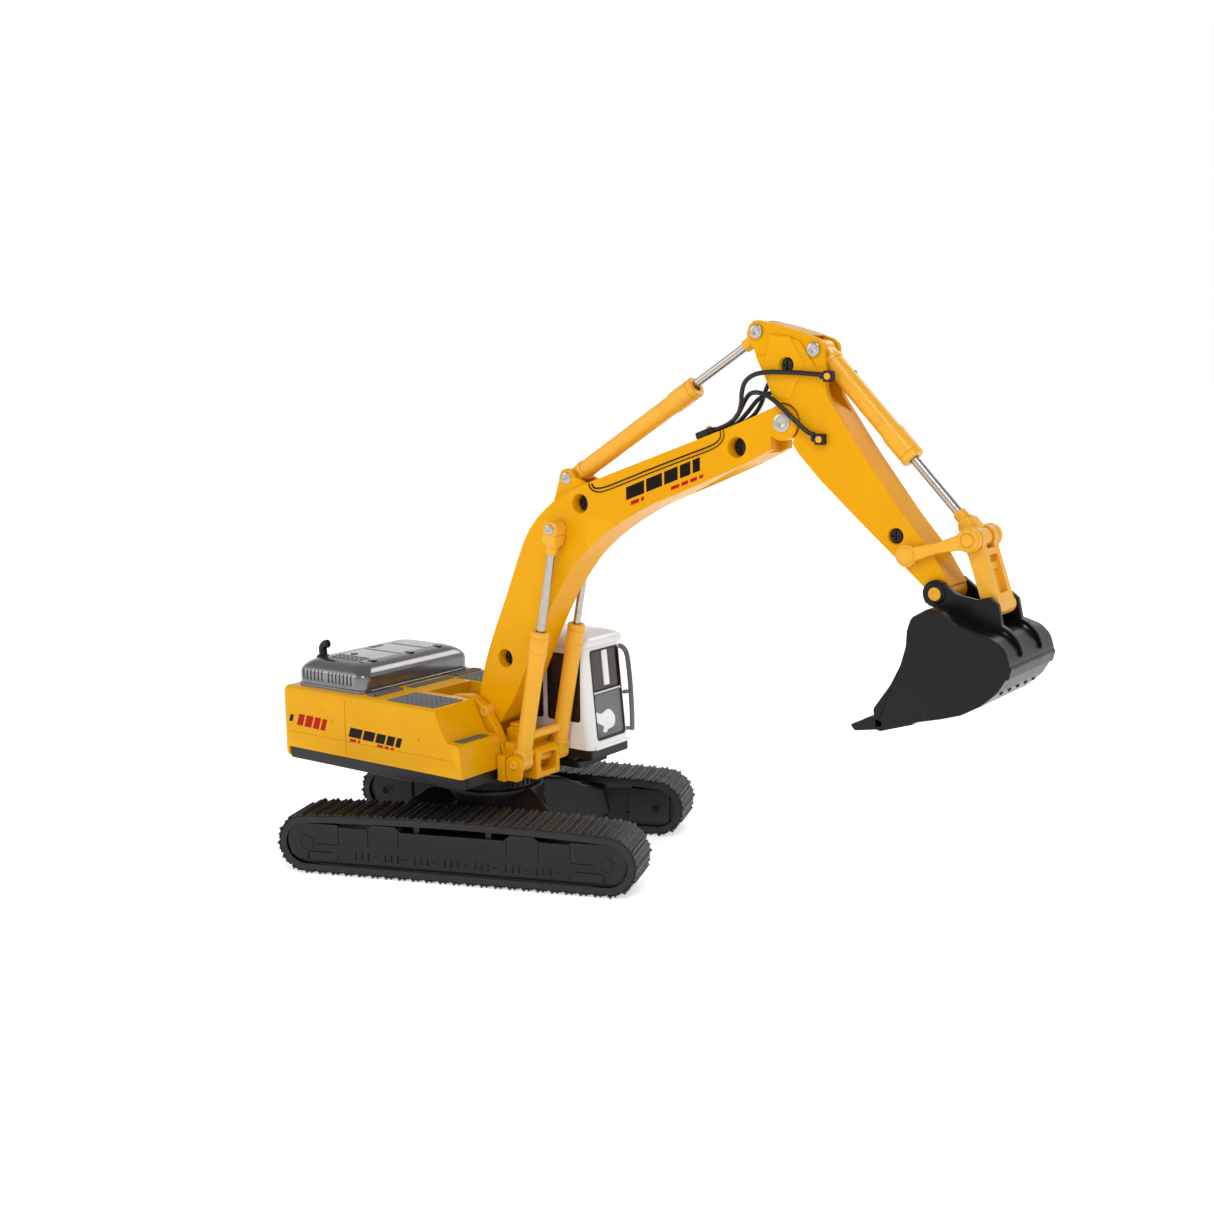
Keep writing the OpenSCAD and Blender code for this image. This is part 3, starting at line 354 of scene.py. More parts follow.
MATERIALS = {
    "yellow_body": moulded_plastic("yellow_body", (222, 160, 2), (217, 154, 2), (246, 188, 30), 0.2, 0.12,
        0.04, 0.6, 0.06),
    "yellow_arm": moulded_plastic("yellow_arm", (224, 158, 2), (219, 152, 2), (246, 186, 30), 0.26, 0.06,
        0.04, 0.5, 0.06),
    "yellow_linkage": moulded_plastic("yellow_linkage", (230, 168, 44), (224, 159, 34), (244, 190, 84),
        0.34, 0.1, gloss=0.2),
    "white_cab": moulded_plastic("white_cab", (226, 225, 223), (220, 219, 216), (240, 240, 238), 0.24, 0.4,
        0.03, 0.6),
    "black_plastic": moulded_plastic("black_plastic", (19, 18, 19), (13, 12, 13), (52, 50, 49), 0.36, 0.0,
        0.08, 0.3),
    "bucket_black": moulded_plastic("bucket_black", (15, 13, 13), (11, 10, 10), (46, 44, 42), 0.3, 0.0,
        0.07, 0.35, 0.22),
    "black_screw": moulded_plastic("black_screw", (16, 15, 15), (10, 9, 9), (62, 60, 58), 0.3),
    "seat_grey": moulded_plastic("seat_grey", (44, 42, 42), (32, 31, 31), (84, 80, 78), 0.6, 0.0, 0.2, 0.3),
    "grey_trim": moulded_plastic("grey_trim", (104, 104, 108), (88, 88, 92), (140, 140, 142), 0.42, 0.0,
        0.1, 0.3),
    "gunmetal": metallic_paint(),
    "rod_steel": polished_metal("rod_steel", (196, 191, 184), (150, 144, 137), 0.16, (1, 1, 0.06)),
    "pin_steel": polished_metal("pin_steel", (200, 196, 192), (150, 145, 140), 0.22, (1, 0.1, 1)),
    "track_rubber": worn_rubber("track_rubber", (14, 13, 13), (46, 44, 42), 0.44),
    "hose_rubber": worn_rubber("hose_rubber", (16, 14, 14), (44, 42, 40), 0.36),
    "smoked_glass": smoked_glass(),
    "black_print": moulded_plastic("black_print", (22, 11, 6), (16, 8, 4), (30, 17, 9), 0.42, 0.0, 0.04,
        0.3, 0.1),
    "red_print": moulded_plastic("red_print", (176, 12, 4), (164, 8, 3), (184, 20, 8), 0.42, 0.0, 0.04,
        0.3, 0.1),
}


# ---- Shape tools: every one returns a bmesh in millimetres ----

SHARP_ANGLE = 38
MERGE_DISTANCE = 0.004
BEVEL_OVERSHOOT = 0.02


def block(low, high):
    made = bmesh.new()
    bmesh.ops.create_cube(made, size=1)
    low, high = Vector(low), Vector(high)
    for vertex in made.verts:
        vertex.co = Vector([low[i] + (high[i] - low[i]) * (vertex.co[i] + 0.5) for i in range(3)])
    return made


def span(side, near, far):
    """The two ends of a stretch on one side of the middle, lower one first; side is -1 or 1."""
    return sorted((side * near, side * far))


def extruded(outline, place, depth):
    """place turns an outline point into 3-D; depth is the extrusion vector."""
    made = bmesh.new()
    face = made.faces.new([made.verts.new(place(point)) for point in outline])
    moved = bmesh.ops.extrude_face_region(made, geom=[face])["geom"]
    bmesh.ops.translate(made, vec=depth, verts=[v for v in moved if isinstance(v, bmesh.types.BMVert)])
    bmesh.ops.recalc_face_normals(made, faces=made.faces)
    return made


def side_plate(outline, y0, y1):
    return extruded(outline, lambda p: (p[0], y0, p[1]), (0, y1 - y0, 0))


def plan_plate(outline, z0, z1):
    return extruded(outline, lambda p: (p[0], p[1], z0), (0, 0, z1 - z0))


def skinned(rings, loop=False):
    """A surface through rings of 3-D points, capped at both ends unless it runs round in a loop."""
    made = bmesh.new()
    rows = [[made.verts.new(point) for point in ring] for ring in rings]
    count = max(len(row) for row in rows)
    for first, second in zip(rows, rows[1:] + rows[:1] if loop else rows[1:]):
        for k in range(count):
            corners = [first[k % len(first)], first[(k + 1) % len(first)],
                       second[(k + 1) % len(second)], second[k % len(second)]]
            made.faces.new(list(dict.fromkeys(corners)))
    for row in () if loop else (rows[0], rows[-1]):
        if len(row) > 1:
            made.faces.new(row)
    bmesh.ops.recalc_face_normals(made, faces=made.faces)
    return made


def circle(centre, along, across, radius, sides, squash=1.0):
    """The points of a ring square to along; a radius of 0 gives one point."""
    if radius <= 0:
        return [centre]
    other = along.cross(across) * squash
    angles = [2 * math.pi * k / sides for k in range(sides)]
    return [centre + radius * (math.cos(a) * across + math.sin(a) * other) for a in angles]


def lathe(start, direction, profile, sides=40):
    """profile is a list of (distance along direction, radius); ends with a radius of 0 close to a point."""
    start, along = Vector(start), Vector(direction).normalized()
    across = along.orthogonal().normalized()
    return skinned([circle(start + along * distance, along, across, radius, sides)
                    for distance, radius in profile])


def bar(start, end, radius, sides=40):
    gap = Vector(end) - Vector(start)
    return lathe(start, gap, [(0, radius), (gap.length, radius)], sides)


def y_bar(at, radius, y0, y1, sides=40):
    return bar((at[0], y0, at[1]), (at[0], y1, at[1]), radius, sides)


def spline(points, steps=6, closed=False):
    """Catmull-Rom curve through the points, which may be 2-D or 3-D."""
    points = [Vector(p) for p in points]
    count = len(points)
    curve = []
    for i in range(count if closed else count - 1):
        if closed:
            a, b, c, d = (points[(i + k) % count] for k in (-1, 0, 1, 2))
        else:
            b, c = points[i], points[i + 1]
            a = points[i - 1] if i else 2 * b - c
            d = points[i + 2] if i + 2 < count else 2 * c - b
        for k in range(steps):
            t = k / steps
            curve.append(0.5 * (2 * b + (c - a) * t + (2 * a - 5 * b + 4 * c - d) * t * t
                                + (3 * b - a - 3 * c + d) * t ** 3))
    if not closed:
        curve.append(points[-1])
    return curve


def swept(points, radius, sides=12, squash=1.0):
    """A round tube along a path of 3-D points; squash flattens it."""
    points = [Vector(p) for p in points]
    across = None
    rings = []
    for i, point in enumerate(points):
        along = (points[min(i + 1, len(points) - 1)] - points[max(i - 1, 0)]).normalized()
        if across is None:
            across = along.orthogonal().normalized()
        across = (across - along * across.dot(along)).normalized()
        rings.append(circle(point, along, across, radius, sides, squash))
    return skinned(rings)


def corner_arc(corner, before, after, radius, steps):
    """Points of the arc that rounds one corner of an outline."""
    corner, before, after = Vector(corner), Vector(before), Vector(after)
    to_before, to_after = (before - corner).normalized(), (after - corner).normalized()
    half = to_before.angle(to_after) / 2
    radius = min(radius, 0.49 * math.tan(half) * min((before - corner).length, (after - corner).length))
    centre = corner + (to_before + to_after).normalized() * (radius / math.sin(half))
    start = corner + to_before * (radius / math.tan(half)) - centre
    end = corner + to_after * (radius / math.tan(half)) - centre
    turn = start.angle_signed(end)
    return [centre + Matrix.Rotation(-turn * k / steps, 2) @ start for k in range(steps + 1)]


def rounded(outline, radius, steps=5):
    """The outline with rounded corners; radius is one number or one for each point."""
    radii = radius if isinstance(radius, (list, tuple)) else [radius] * len(outline)
    result = []
    for i, corner in enumerate(outline):
        if radii[i] <= 0:
            result.append(Vector(corner))
        else:
            result += corner_arc(corner, outline[i - 1], outline[(i + 1) % len(outline)], radii[i], steps)
    return result


def rectangle(low, high):
    return [(low[0], low[1]), (high[0], low[1]), (high[0], high[1]), (low[0], high[1])]


def lofted(levels):
    """levels is a list of (z, outline); the outlines have the same number of points."""
    return skinned([[(p[0], p[1], z) for p in outline] for z, outline in levels])


def merged(*shapes):
    """Puts shapes into one bmesh without changing them."""
    made = bmesh.new()
    for shape in shapes:
        mesh = bpy.data.meshes.new("part")
        shape.to_mesh(mesh)
        made.from_mesh(mesh)
        bpy.data.meshes.remove(mesh)
        shape.free()
    return made


def mirrored(shape):
    """A copy on the other side of the boom plane."""
    made = shape.copy()
    for vertex in made.verts:
        vertex.co.y = -vertex.co.y
    bmesh.ops.reverse_faces(made, faces=made.faces)
    return made


def moved(shape, matrix):
    bmesh.ops.transform(shape, matrix=matrix, verts=shape.verts)
    return shape


def scratch_object(shape):
    mesh = bpy.data.meshes.new("scratch")
    shape.to_mesh(mesh)
    made = bpy.data.objects.new("scratch", mesh)
    bpy.context.scene.collection.objects.link(made)
    return made


def evaluated(scratch):
    """The object's mesh with its modifiers applied, as a bmesh; the object is removed."""
    bpy.context.view_layer.update()
    seen = scratch.evaluated_get(bpy.context.evaluated_depsgraph_get())
    made = bmesh.new()
    made.from_mesh(seen.to_mesh())
    mesh = scratch.data
    bpy.data.objects.remove(scratch)
    bpy.data.meshes.remove(mesh)
    return made


def combined(base, tools, operation):
    scratch = scratch_object(base)
    helpers = [scratch_object(tool) for tool in tools]
    for helper in helpers:
        modifier = scratch.modifiers.new("join", "BOOLEAN")
        modifier.object = helper
        modifier.operation = operation
        modifier.solver = "EXACT"
        modifier.use_self = True
    made = evaluated(scratch)
    for helper in helpers:
        mesh = helper.data
        bpy.data.objects.remove(helper)
        bpy.data.meshes.remove(mesh)
    return made


def cut(base, *tools):
    return combined(base, tools, "DIFFERENCE")


def fused(base, *tools):
    return combined(base, tools, "UNION")


def clean(shape):
    """Merges doubled points and joins flat neighbours, in place."""
    bmesh.ops.remove_doubles(shape, verts=shape.verts, dist=MERGE_DISTANCE)
    bmesh.ops.dissolve_limit(shape, angle_limit=math.radians(2), verts=shape.verts, edges=shape.edges)


def bevelled(shape, width, segments, angle, clamp):
    scratch = scratch_object(shape)
    modifier = scratch.modifiers.new("round", "BEVEL")
    modifier.width = width
    modifier.segments = segments
    modifier.limit_method = "ANGLE"
    modifier.angle_limit = math.radians(angle)
    modifier.use_clamp_overlap = clamp
    return evaluated(scratch)


def corners_of(shape):
    places = [v.co for v in shape.verts]
    return [min(p[i] for p in places) for i in range(3)] + [-max(p[i] for p in places) for i in range(3)]


def softened(shape, width, segments=3, angle=32):
    """Rounds the sharp edges; where the full width would poke out of the shape, it is clamped."""
    clean(shape)
    made = bevelled(shape, width, segments, angle, False)
    if any(new < old - BEVEL_OVERSHOOT for new, old in zip(corners_of(made), corners_of(shape))):
        made = bevelled(shape, width, segments, angle, True)
    return made


def soft_block(low, high, *rounding):
    return softened(block(low, high), *rounding)


def soft_plate(outline, y0, y1, *rounding):
    return softened(side_plate(outline, y0, y1), *rounding)


def shaded_object(name, shape, frame_matrix, material):
    mesh = bpy.data.meshes.new(name)
    moved(shape, frame_matrix).to_mesh(mesh)
    shape.free()
    mesh.shade_smooth()
    mesh.materials.append(MATERIALS[material])
    made = bpy.data.objects.new(name, mesh)
    bpy.context.scene.collection.objects.link(made)
    return made


def piece(name, shape, body, material, frame_matrix=SWING, replaces=()):
    made = shaded_object(name, shape, frame_matrix, material)
    made.data.set_sharp_from_angle(angle=math.radians(SHARP_ANGLE))
    weighted = made.modifiers.new("even_normals", "WEIGHTED_NORMAL")
    weighted.keep_sharp = True
    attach(made, body)
    if replaces:
        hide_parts(*replaces)


def cad_shape(node):
    """A copy of a CAD node's mesh in the SWING frame."""
    made = bmesh.new()
    made.from_mesh(frame["nodes"][node].data)
    moved(made, SWING.inverted())
    bmesh.ops.remove_doubles(made, verts=made.verts, dist=MERGE_DISTANCE)
    return made


def refined(node, material, width=0.25, segments=2):
    """The CAD node with rounded edges, in place of the node."""
    shape = softened(cad_shape(node), width, segments)
    piece(node + "_shell", shape, frame["nodes"][node]["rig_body"], material, replaces=[node])


# ---- Undercarriage ----

END_X, END_Z = (TURNED.inverted() @ Vector(JOINTS["idler_left_spin"]["pos_m"])).xz
TRACK_Y = (TURNED.inverted() @ Vector(JOINTS["idler_left_spin"]["pos_m"])).y
SHOE_COUNT = 56
SHOE_HEIGHT = 0.8
BELT_RADIUS = END_Z - SHOE_HEIGHT
BELT_THICKNESS = 1.15
BELT_HALF = 7.4
CARRIER_X = 10
CARRIER_RISE = 1.1
SIDES = {"right": -1, "left": 1}


def track_path():
    """The belt's outer face as a closed list of (point, outward) in the side view, evenly spaced."""
    path = []
    for k in range(121):
        angle = math.radians(-90 + 180 * k / 120)
        path.append(Vector((END_X + BELT_RADIUS * math.cos(angle), END_Z + BELT_RADIUS * math.sin(angle))))
    top = END_Z + BELT_RADIUS
    path += [Vector((x, top + CARRIER_RISE * math.cos(math.pi * x / (2 * END_X)) ** 0.7))
             for x in [END_X * (1 - k / 60) for k in range(1, 120)]]
    for k in range(121):
        angle = math.radians(90 + 180 * k / 120)
        path.append(Vector((-END_X + BELT_RADIUS * math.cos(angle), END_Z + BELT_RADIUS * math.sin(angle))))
    path += [Vector((-END_X + 2 * END_X * k / 120, END_Z - BELT_RADIUS)) for k in range(1, 120)]
    lengths = [(path[(i + 1) % len(path)] - path[i]).length for i in range(len(path))]
    total = sum(lengths)

    def at(distance):
        distance %= total
        for i, length in enumerate(lengths):
            if distance <= length:
                a, b = path[i], path[(i + 1) % len(path)]
                along = (b - a).normalized()
                return a + (b - a) * (distance / length), Vector((along.y, -along.x))
            distance -= length
        return path[0], Vector((0, -1))
    return at, total


def track(side_name):
    """One belt with its shoes."""
    side = SIDES[side_name]
    at, total = track_path()
    pitch = total / SHOE_COUNT
    steps = SHOE_COUNT * 4
    # Belt: outer face, side rims that hang further in, and the inner face
    section = [(0, BELT_HALF - 0.25), (-0.25, BELT_HALF), (-1.75, BELT_HALF), (-1.95, BELT_HALF - 0.12),
               (-1.95, BELT_HALF - 0.3), (-BELT_THICKNESS, BELT_HALF - 0.38)]
    section += [(out, -y) for out, y in reversed(section)]
    rings = []
    for k in range(steps):
        point, outward = at(total * k / steps)
        rings.append([(point.x + outward.x * out, y, point.y + outward.y * out) for out, y in section])
    belt = skinned(rings, loop=True)
    # One shoe, drawn with along = x and outward = z: a low pad with a tall and a short rib
    profile = [(-0.47, -0.1), (-0.47, 0.16), (-0.37, 0.24), (-0.34, SHOE_HEIGHT), (-0.26, SHOE_HEIGHT),
               (-0.21, 0.3), (0.0, 0.24), (0.04, 0.62), (0.12, 0.62), (0.17, 0.26), (0.45, 0.12),
               (0.45, -0.1)]
    shoe = side_plate([(x * pitch, z) for x, z in profile], -BELT_HALF + 0.05, BELT_HALF - 0.05)
    shoe = softened(shoe, 0.08, 1, 25)
    for k in range(SHOE_COUNT):
        point, outward = at(total * (k + 0.5) / SHOE_COUNT)
        along = Vector((-outward.y, outward.x))
        turn = Matrix(((along.x, 0, outward.x, point.x), (0, 1, 0, 0), (along.y, 0, outward.y, point.y),
                       (0, 0, 0, 1)))
        belt = merged(belt, moved(shoe.copy(), turn))
    shoe.free()
    moved(belt, Matrix.Translation((0, side * TRACK_Y, 0)))
    piece(f"rubber_track_{side_name}", belt, "undercarriage", "track_rubber", TURNED,
          [f"track_{side_name}"])


# Top edge of the side plate, from its middle to its front end: the rear half is the mirror image
PLATE_TOP = [(14.2, 13.1), (16.0, 14.6), (22.4, 14.6), (23.6, 13.4), (31.6, 13.4), (32.4, 13.9),
             (44.6, 13.9)]
PLATE_END = [(46.6, 12.4), (47.0, 8.35), (46.0, 5.2), (44.0, 3.9)]
PLATE_OUT = 7.0
PLATE_IN = 6.1


def side_frame(side_name):
    """One track frame: outer plate with its marks, core, carrier rollers and guide rail."""
    side = SIDES[side_name]
    front = PLATE_TOP + PLATE_END
    outline = [(-x, z) for x, z in reversed(front)] + front
    plate = soft_plate(outline, PLATE_IN, PLATE_OUT, 0.22, 2)
    grooves = []
    # Roller marks along the lower edge: pairs of upright grooves with a short dash between them
    for i in range(-3, 4):
        for offset in (-1.9, -0.1, 1.7):
            x = i * 8.4 + offset
            grooves.append(block((x - 0.28, PLATE_OUT - 0.3, 4.7), (x + 0.28, PLATE_OUT + 1, 6.8)))
        grooves.append(block((i * 8.4 + 3.0, PLATE_OUT - 0.22, 5.6), (i * 8.4 + 4.4, PLATE_OUT + 1, 5.9)))
    # Seams at the ends: a stepped cover over each wheel
    for end in (-1, 1):
        for low, high in (((32.2, 8.3), (38.2, 8.6)), ((33.6, 6.1), (41.0, 6.6)),
                          ((40.8, 4.2), (41.2, 6.6)), ((32.0, 3.0), (32.5, 5.4)),
                          ((32.0, 8.6), (32.25, 13.6)), ((23.5, 8.6), (23.7, 13.2)),
                          ((14.9, 8.6), (15.1, 13.2))):
            x0, x1 = span(end, low[0], high[0])
            grooves.append(block((x0, PLATE_OUT - 0.28, low[1]), (x1, PLATE_OUT + 1, high[1])))
        grooves.append(side_plate([(end * 30.6, 3.4), (end * 32.2, 5.3), (end * 33.8, 3.4)],
                                  PLATE_OUT - 0.45, PLATE_OUT + 1))
    plate = cut(plate, merged(*grooves))
    extras = []
    for end in (-1, 1):
        # Washer and stub of the wheel's axle
        extras.append(lathe((end * END_X, PLATE_OUT - 0.2, END_Z), (0, 1, 0),
                            [(0, 2.3), (0.35, 2.3), (0.45, 2.15), (0.45, 1.75), (0.25, 1.6), (0.25, 0)]))
        # Guard lip below the belt and the ledge on the plate's top edge
        x0, x1 = span(end, 16.2, 22.2)
        extras.append(block((x0, PLATE_OUT - 0.3, 14.0), (x1, PLATE_OUT + 0.15, 14.5)))
    extras.append(block((-13.6, PLATE_OUT - 0.3, 12.7), (13.6, PLATE_OUT + 0.18, 13.1)))
    # Core between the plate and the wheels, its top left open around the carrier rollers
    core = side_plate(rounded([(-47.2, 2.2), (47.2, 2.2), (47.6, 8.35), (46.0, 12.9), (-46.0, 12.9),
                               (-47.6, 8.35)], 3.0), -6.2, 6.2)
    core = softened(core, 0.2, 2)
    for end in (-1, 1):
        core = cut(core, block((end * (END_X + 1.5) - 9.5, -4.6, -1), (end * (END_X + 1.5) + 9.5, 4.6, 18)))
        extras.append(lathe((end * CARRIER_X, -3.4, 13.9), (0, 1, 0),
                            [(0, 0.9), (0.4, 1.35), (3.0, 1.35), (3.4, 0.7), (3.6, 0.7), (4.0, 1.35),
                             (6.4, 1.35), (6.8, 0.9)]))
        extras.append(soft_block((end * CARRIER_X - 0.8, 2.0, 12), (end * CARRIER_X + 0.8, 6.4, 15.2), 0.2,
                                 2))
    # Guide rail just above the lower run
    extras.append(soft_block((-38, 5.6, 2.1), (38, 6.9, 3.1), 0.2, 2))
    shape = merged(plate, core, *extras)
    if side < 0:
        shape = mirrored(shape)
    moved(shape, Matrix.Translation((0, side * TRACK_Y, 0)))
    piece(f"side_frame_{side_name}_shell", shape, "undercarriage", "black_plastic", TURNED,
          [f"side_frame_{side_name}"])


def inner_cheek_marks(side_name):
    """The raised boss and box on the chassis side of each track frame."""
    side = SIDES[side_name]
    y0, y1 = span(side, TRACK_Y - 7.15, TRACK_Y - 6.0)
    parts = []
    for end in (-1, 1):
        x0, x1 = span(end, 33.5, 45.5)
        parts.append(soft_block((x0, y0, 4.2), (x1, y1, 13.6), 0.25, 2))
        parts.append(lathe((end * END_X, side * (TRACK_Y - 7.1), END_Z), (0, -side, 0),
                           [(0, 1.9), (0.25, 1.8), (0.25, 1.1), (0.05, 1.0), (0.05, 0)]))
        x0, x1 = span(end, 32.5, 40.5)
        parts.append(block((x0, y0 - 0.1, 5.8), (x1, y1 + 0.1, 6.2)))
    piece(f"inner_cheek_{side_name}", merged(*parts), "undercarriage", "black_plastic", TURNED)


def chassis_arm(end, side):
    """One sloping arm: a loft that widens from the slew ring out to the side frame."""
    sections = ((5, 8, 7.5, 19.8), (10, 8.6, 6.4, 18.6), (14.5, 8.8, 5.2, 15.6), (19.4, 8.4, 4.6, 13.4))
    rings = []
    for out, half, low, high in sections:
        middle = end * (6 + (out - 5) * 0.95)
        outline = rounded([(middle - half, low), (middle + half, low), (middle + half * 0.72, high),
                           (middle - half * 0.72, high)], 1.6, 4)
        rings.append([(p[0], side * out, p[1]) for p in outline])
    return skinned(rings)


def chassis():
    """Hub with the slew ring's teeth, four arms and the belly plate."""
    arms = [chassis_arm(end, side) for end in (-1, 1) for side in (-1, 1)]
    hub = lathe((0, 0, 6.2), (0, 0, 1), [(0, 12.5), (0.6, 13.2), (12.2, 14.0), (13.2, 13.6), (13.6, 12.6),
                                         (16.2, 12.5), (16.5, 12.2), (16.5, 5.2), (6, 5.2)], 72)
    belly = soft_block((-15, -19.2, 4.6), (15, 19.2, 7.6), 0.5, 2)
    teeth = [moved(block((12.3, -0.35, 20.2), (12.9, 0.35, 21.6)), Matrix.Rotation(2 * math.pi * k / 48, 4,
            "Z")) for k in range(48)]
    piece("chassis_shell", merged(hub, belly, *arms, *teeth), "undercarriage", "black_plastic", TURNED,
          ["chassis"])


for name in SIDES:
    track(name)
    side_frame(name)
    inner_cheek_marks(name)
    for wheel in ("sprocket", "idler"):
        refined(f"{wheel}_{name}", "black_plastic", 0.25)
chassis()
refined("axles", "black_plastic", 0.2)
refined("pivot_screw", "pin_steel", 0.2)


# ---- Deck ----

DECK_HALF = 25.0
DECK_SEAM = 26.5
DECK_TOP = 44.2
TAIL_X = -58.5
POD_FRONT = 10.6
CHANNEL_HALF = 8.9
CHANNEL_REAR = -16.0
CAB_SIDE_FRONT = -3.6
SKIRT_LOW = 23.1
SKIRT_REAR = -56.0
POD_TOP = 35.6


def deck():
    """The yellow casting: tail, both flanks and the stepped pod, with its seams and vents."""
    levels = []
    for z, inset in ((SKIRT_LOW + 0.6, 0.5), (SKIRT_LOW + 1.1, 0.15), (SKIRT_LOW + 1.7, 0.0),
                     (DECK_TOP - 1.8, 0.0), (DECK_TOP - 1.1, 0.14), (DECK_TOP - 0.53, 0.53),
                     (DECK_TOP - 0.14, 1.1), (DECK_TOP, 1.8)):
        low, high = (TAIL_X + inset, -DECK_HALF + inset), (POD_FRONT, DECK_HALF - inset)
        levels.append((z, rounded(rectangle(low, high), [2.2 - inset, 0.5, 0.5, 2.2 - inset], 9)))
    body = lofted(levels)
    channel = block((CHANNEL_REAR, -CHANNEL_HALF, 20), (20, CHANNEL_HALF, 60))
    cab_side = block((CAB_SIDE_FRONT, CHANNEL_HALF - 1, 20), (20, 30, 60))
    under = block((SKIRT_REAR, -30, 20), (20, 30, DECK_SEAM))
    # Above the stepped pod at the front of the right side
    over_pod = [(0.6, 46), (1.0, DECK_TOP - 0.2), (4.6, 37.4), (5.6, POD_TOP), (8.8, POD_TOP),
                (11.6, 33.2), (11.6, 46)]
    over_pod = side_plate(rounded(over_pod, [0, 1.2, 2, 1.6, 1.6, 0, 0], 4), -30, -8)
    front_slope = side_plate([(9.9, 46), (9.9, 34), (POD_FRONT + 0.1, DECK_SEAM + 1), (14, DECK_SEAM + 1),
                              (14, 46)], -30, -8)
    corner = plan_plate([(POD_FRONT - 2.4, -27), (POD_FRONT + 2, -27), (POD_FRONT + 2, -DECK_HALF + 2.6)],
                        20, 46)
    inner_floor = block((CHANNEL_REAR - 0.5, -CHANNEL_HALF - 1, DECK_SEAM), (-8.1, CHANNEL_HALF + 1, 32.2))
    body = cut(body, channel, cab_side, under, over_pod, front_slope, corner)
    body = softened(fused(body, inner_floor), 0.7, 3, 24)
    seams = []
    for side in (-1, 1):
        y0, y1 = span(side, DECK_HALF - 0.14, DECK_HALF + 1)
        seams.append(block((-32.6, y0, DECK_SEAM + 0.5), (-32.42, y1, DECK_TOP - 1.2)))
        seams.append(block((-56, y0, 31.0), (8, y1, 31.1)))
    # Fuel cap recess and lock recesses on the right flank, vents on the left one
    seams.append(y_bar((-37.6, 36.2), 0.55, -DECK_HALF - 1, -DECK_HALF + 0.2, 20))
    seams.append(y_bar((-4.4, 35.4), 0.45, -DECK_HALF - 1, -DECK_HALF + 0.2, 20))
    for row in range(2):
        for i in range(6):
            low = (-44 + i * 5, DECK_HALF - 0.6, 33 + row * 4)
            seams.append(block(low, (low[0] + 2.8, DECK_HALF + 1, low[2] + 1.6)))
    for y in (-15, 15):
        seams.append(block((TAIL_X - 1, y - 0.09, 27), (TAIL_X + 0.14, y + 0.09, 43)))
    body = cut(body, merged(*seams))
    piece("deck_casting", body, "superstructure", "yellow_body", replaces=["deck"])


def skirt():
    """The black plate under the deck, with the swing stud below it."""
    plan = [(SKIRT_REAR + 0.1, -DECK_HALF + 0.35), (POD_FRONT - 2.4, -DECK_HALF + 0.35),
            (POD_FRONT - 0.2, -DECK_HALF + 2.1), (POD_FRONT - 0.2, 10.9), (21.4, 11.2),
            (21.4, DECK_HALF - 0.4), (SKIRT_REAR + 0.1, DECK_HALF - 0.35)]
    plate = plan_plate(rounded(plan, [0, 1, 1, 0.4, 0.8, 0.8, 0], 4), SKIRT_LOW, DECK_SEAM + 0.1)
    over_cab = block((CAB_SIDE_FRONT, 10.8, 25.1), (30, 30, 28))
    plate = softened(cut(plate, over_cab), 0.35, 3)
    stud = lathe((0, 0, 13), (0, 0, 1), [(0, 4.6), (0.4, 5.0), (11, 5.0)], 48)
    ribs = [block((x, -DECK_HALF + 3, SKIRT_LOW - 0.25), (x + 0.8, -6, SKIRT_LOW + 0.3))
            for x in (-48, -38, -28, -18)]
    ribs += [mirrored(rib) for rib in ribs]
    piece("skirt_plate", merged(plate, stud, *ribs), "superstructure", "black_plastic",
          replaces=["base_skirt"])


# ---- Engine hood and exhaust ----

HOOD_REAR, HOOD_FRONT, HOOD_HALF, HOOD_TOP = -55.2, -27.8, 22.0, 52.0


def hood_level(z, inset, radius):
    low = (HOOD_REAR + inset, -HOOD_HALF + inset)
    high = (HOOD_FRONT - inset, HOOD_HALF - inset)
    return z, rounded(rectangle(low, high), radius, 10)


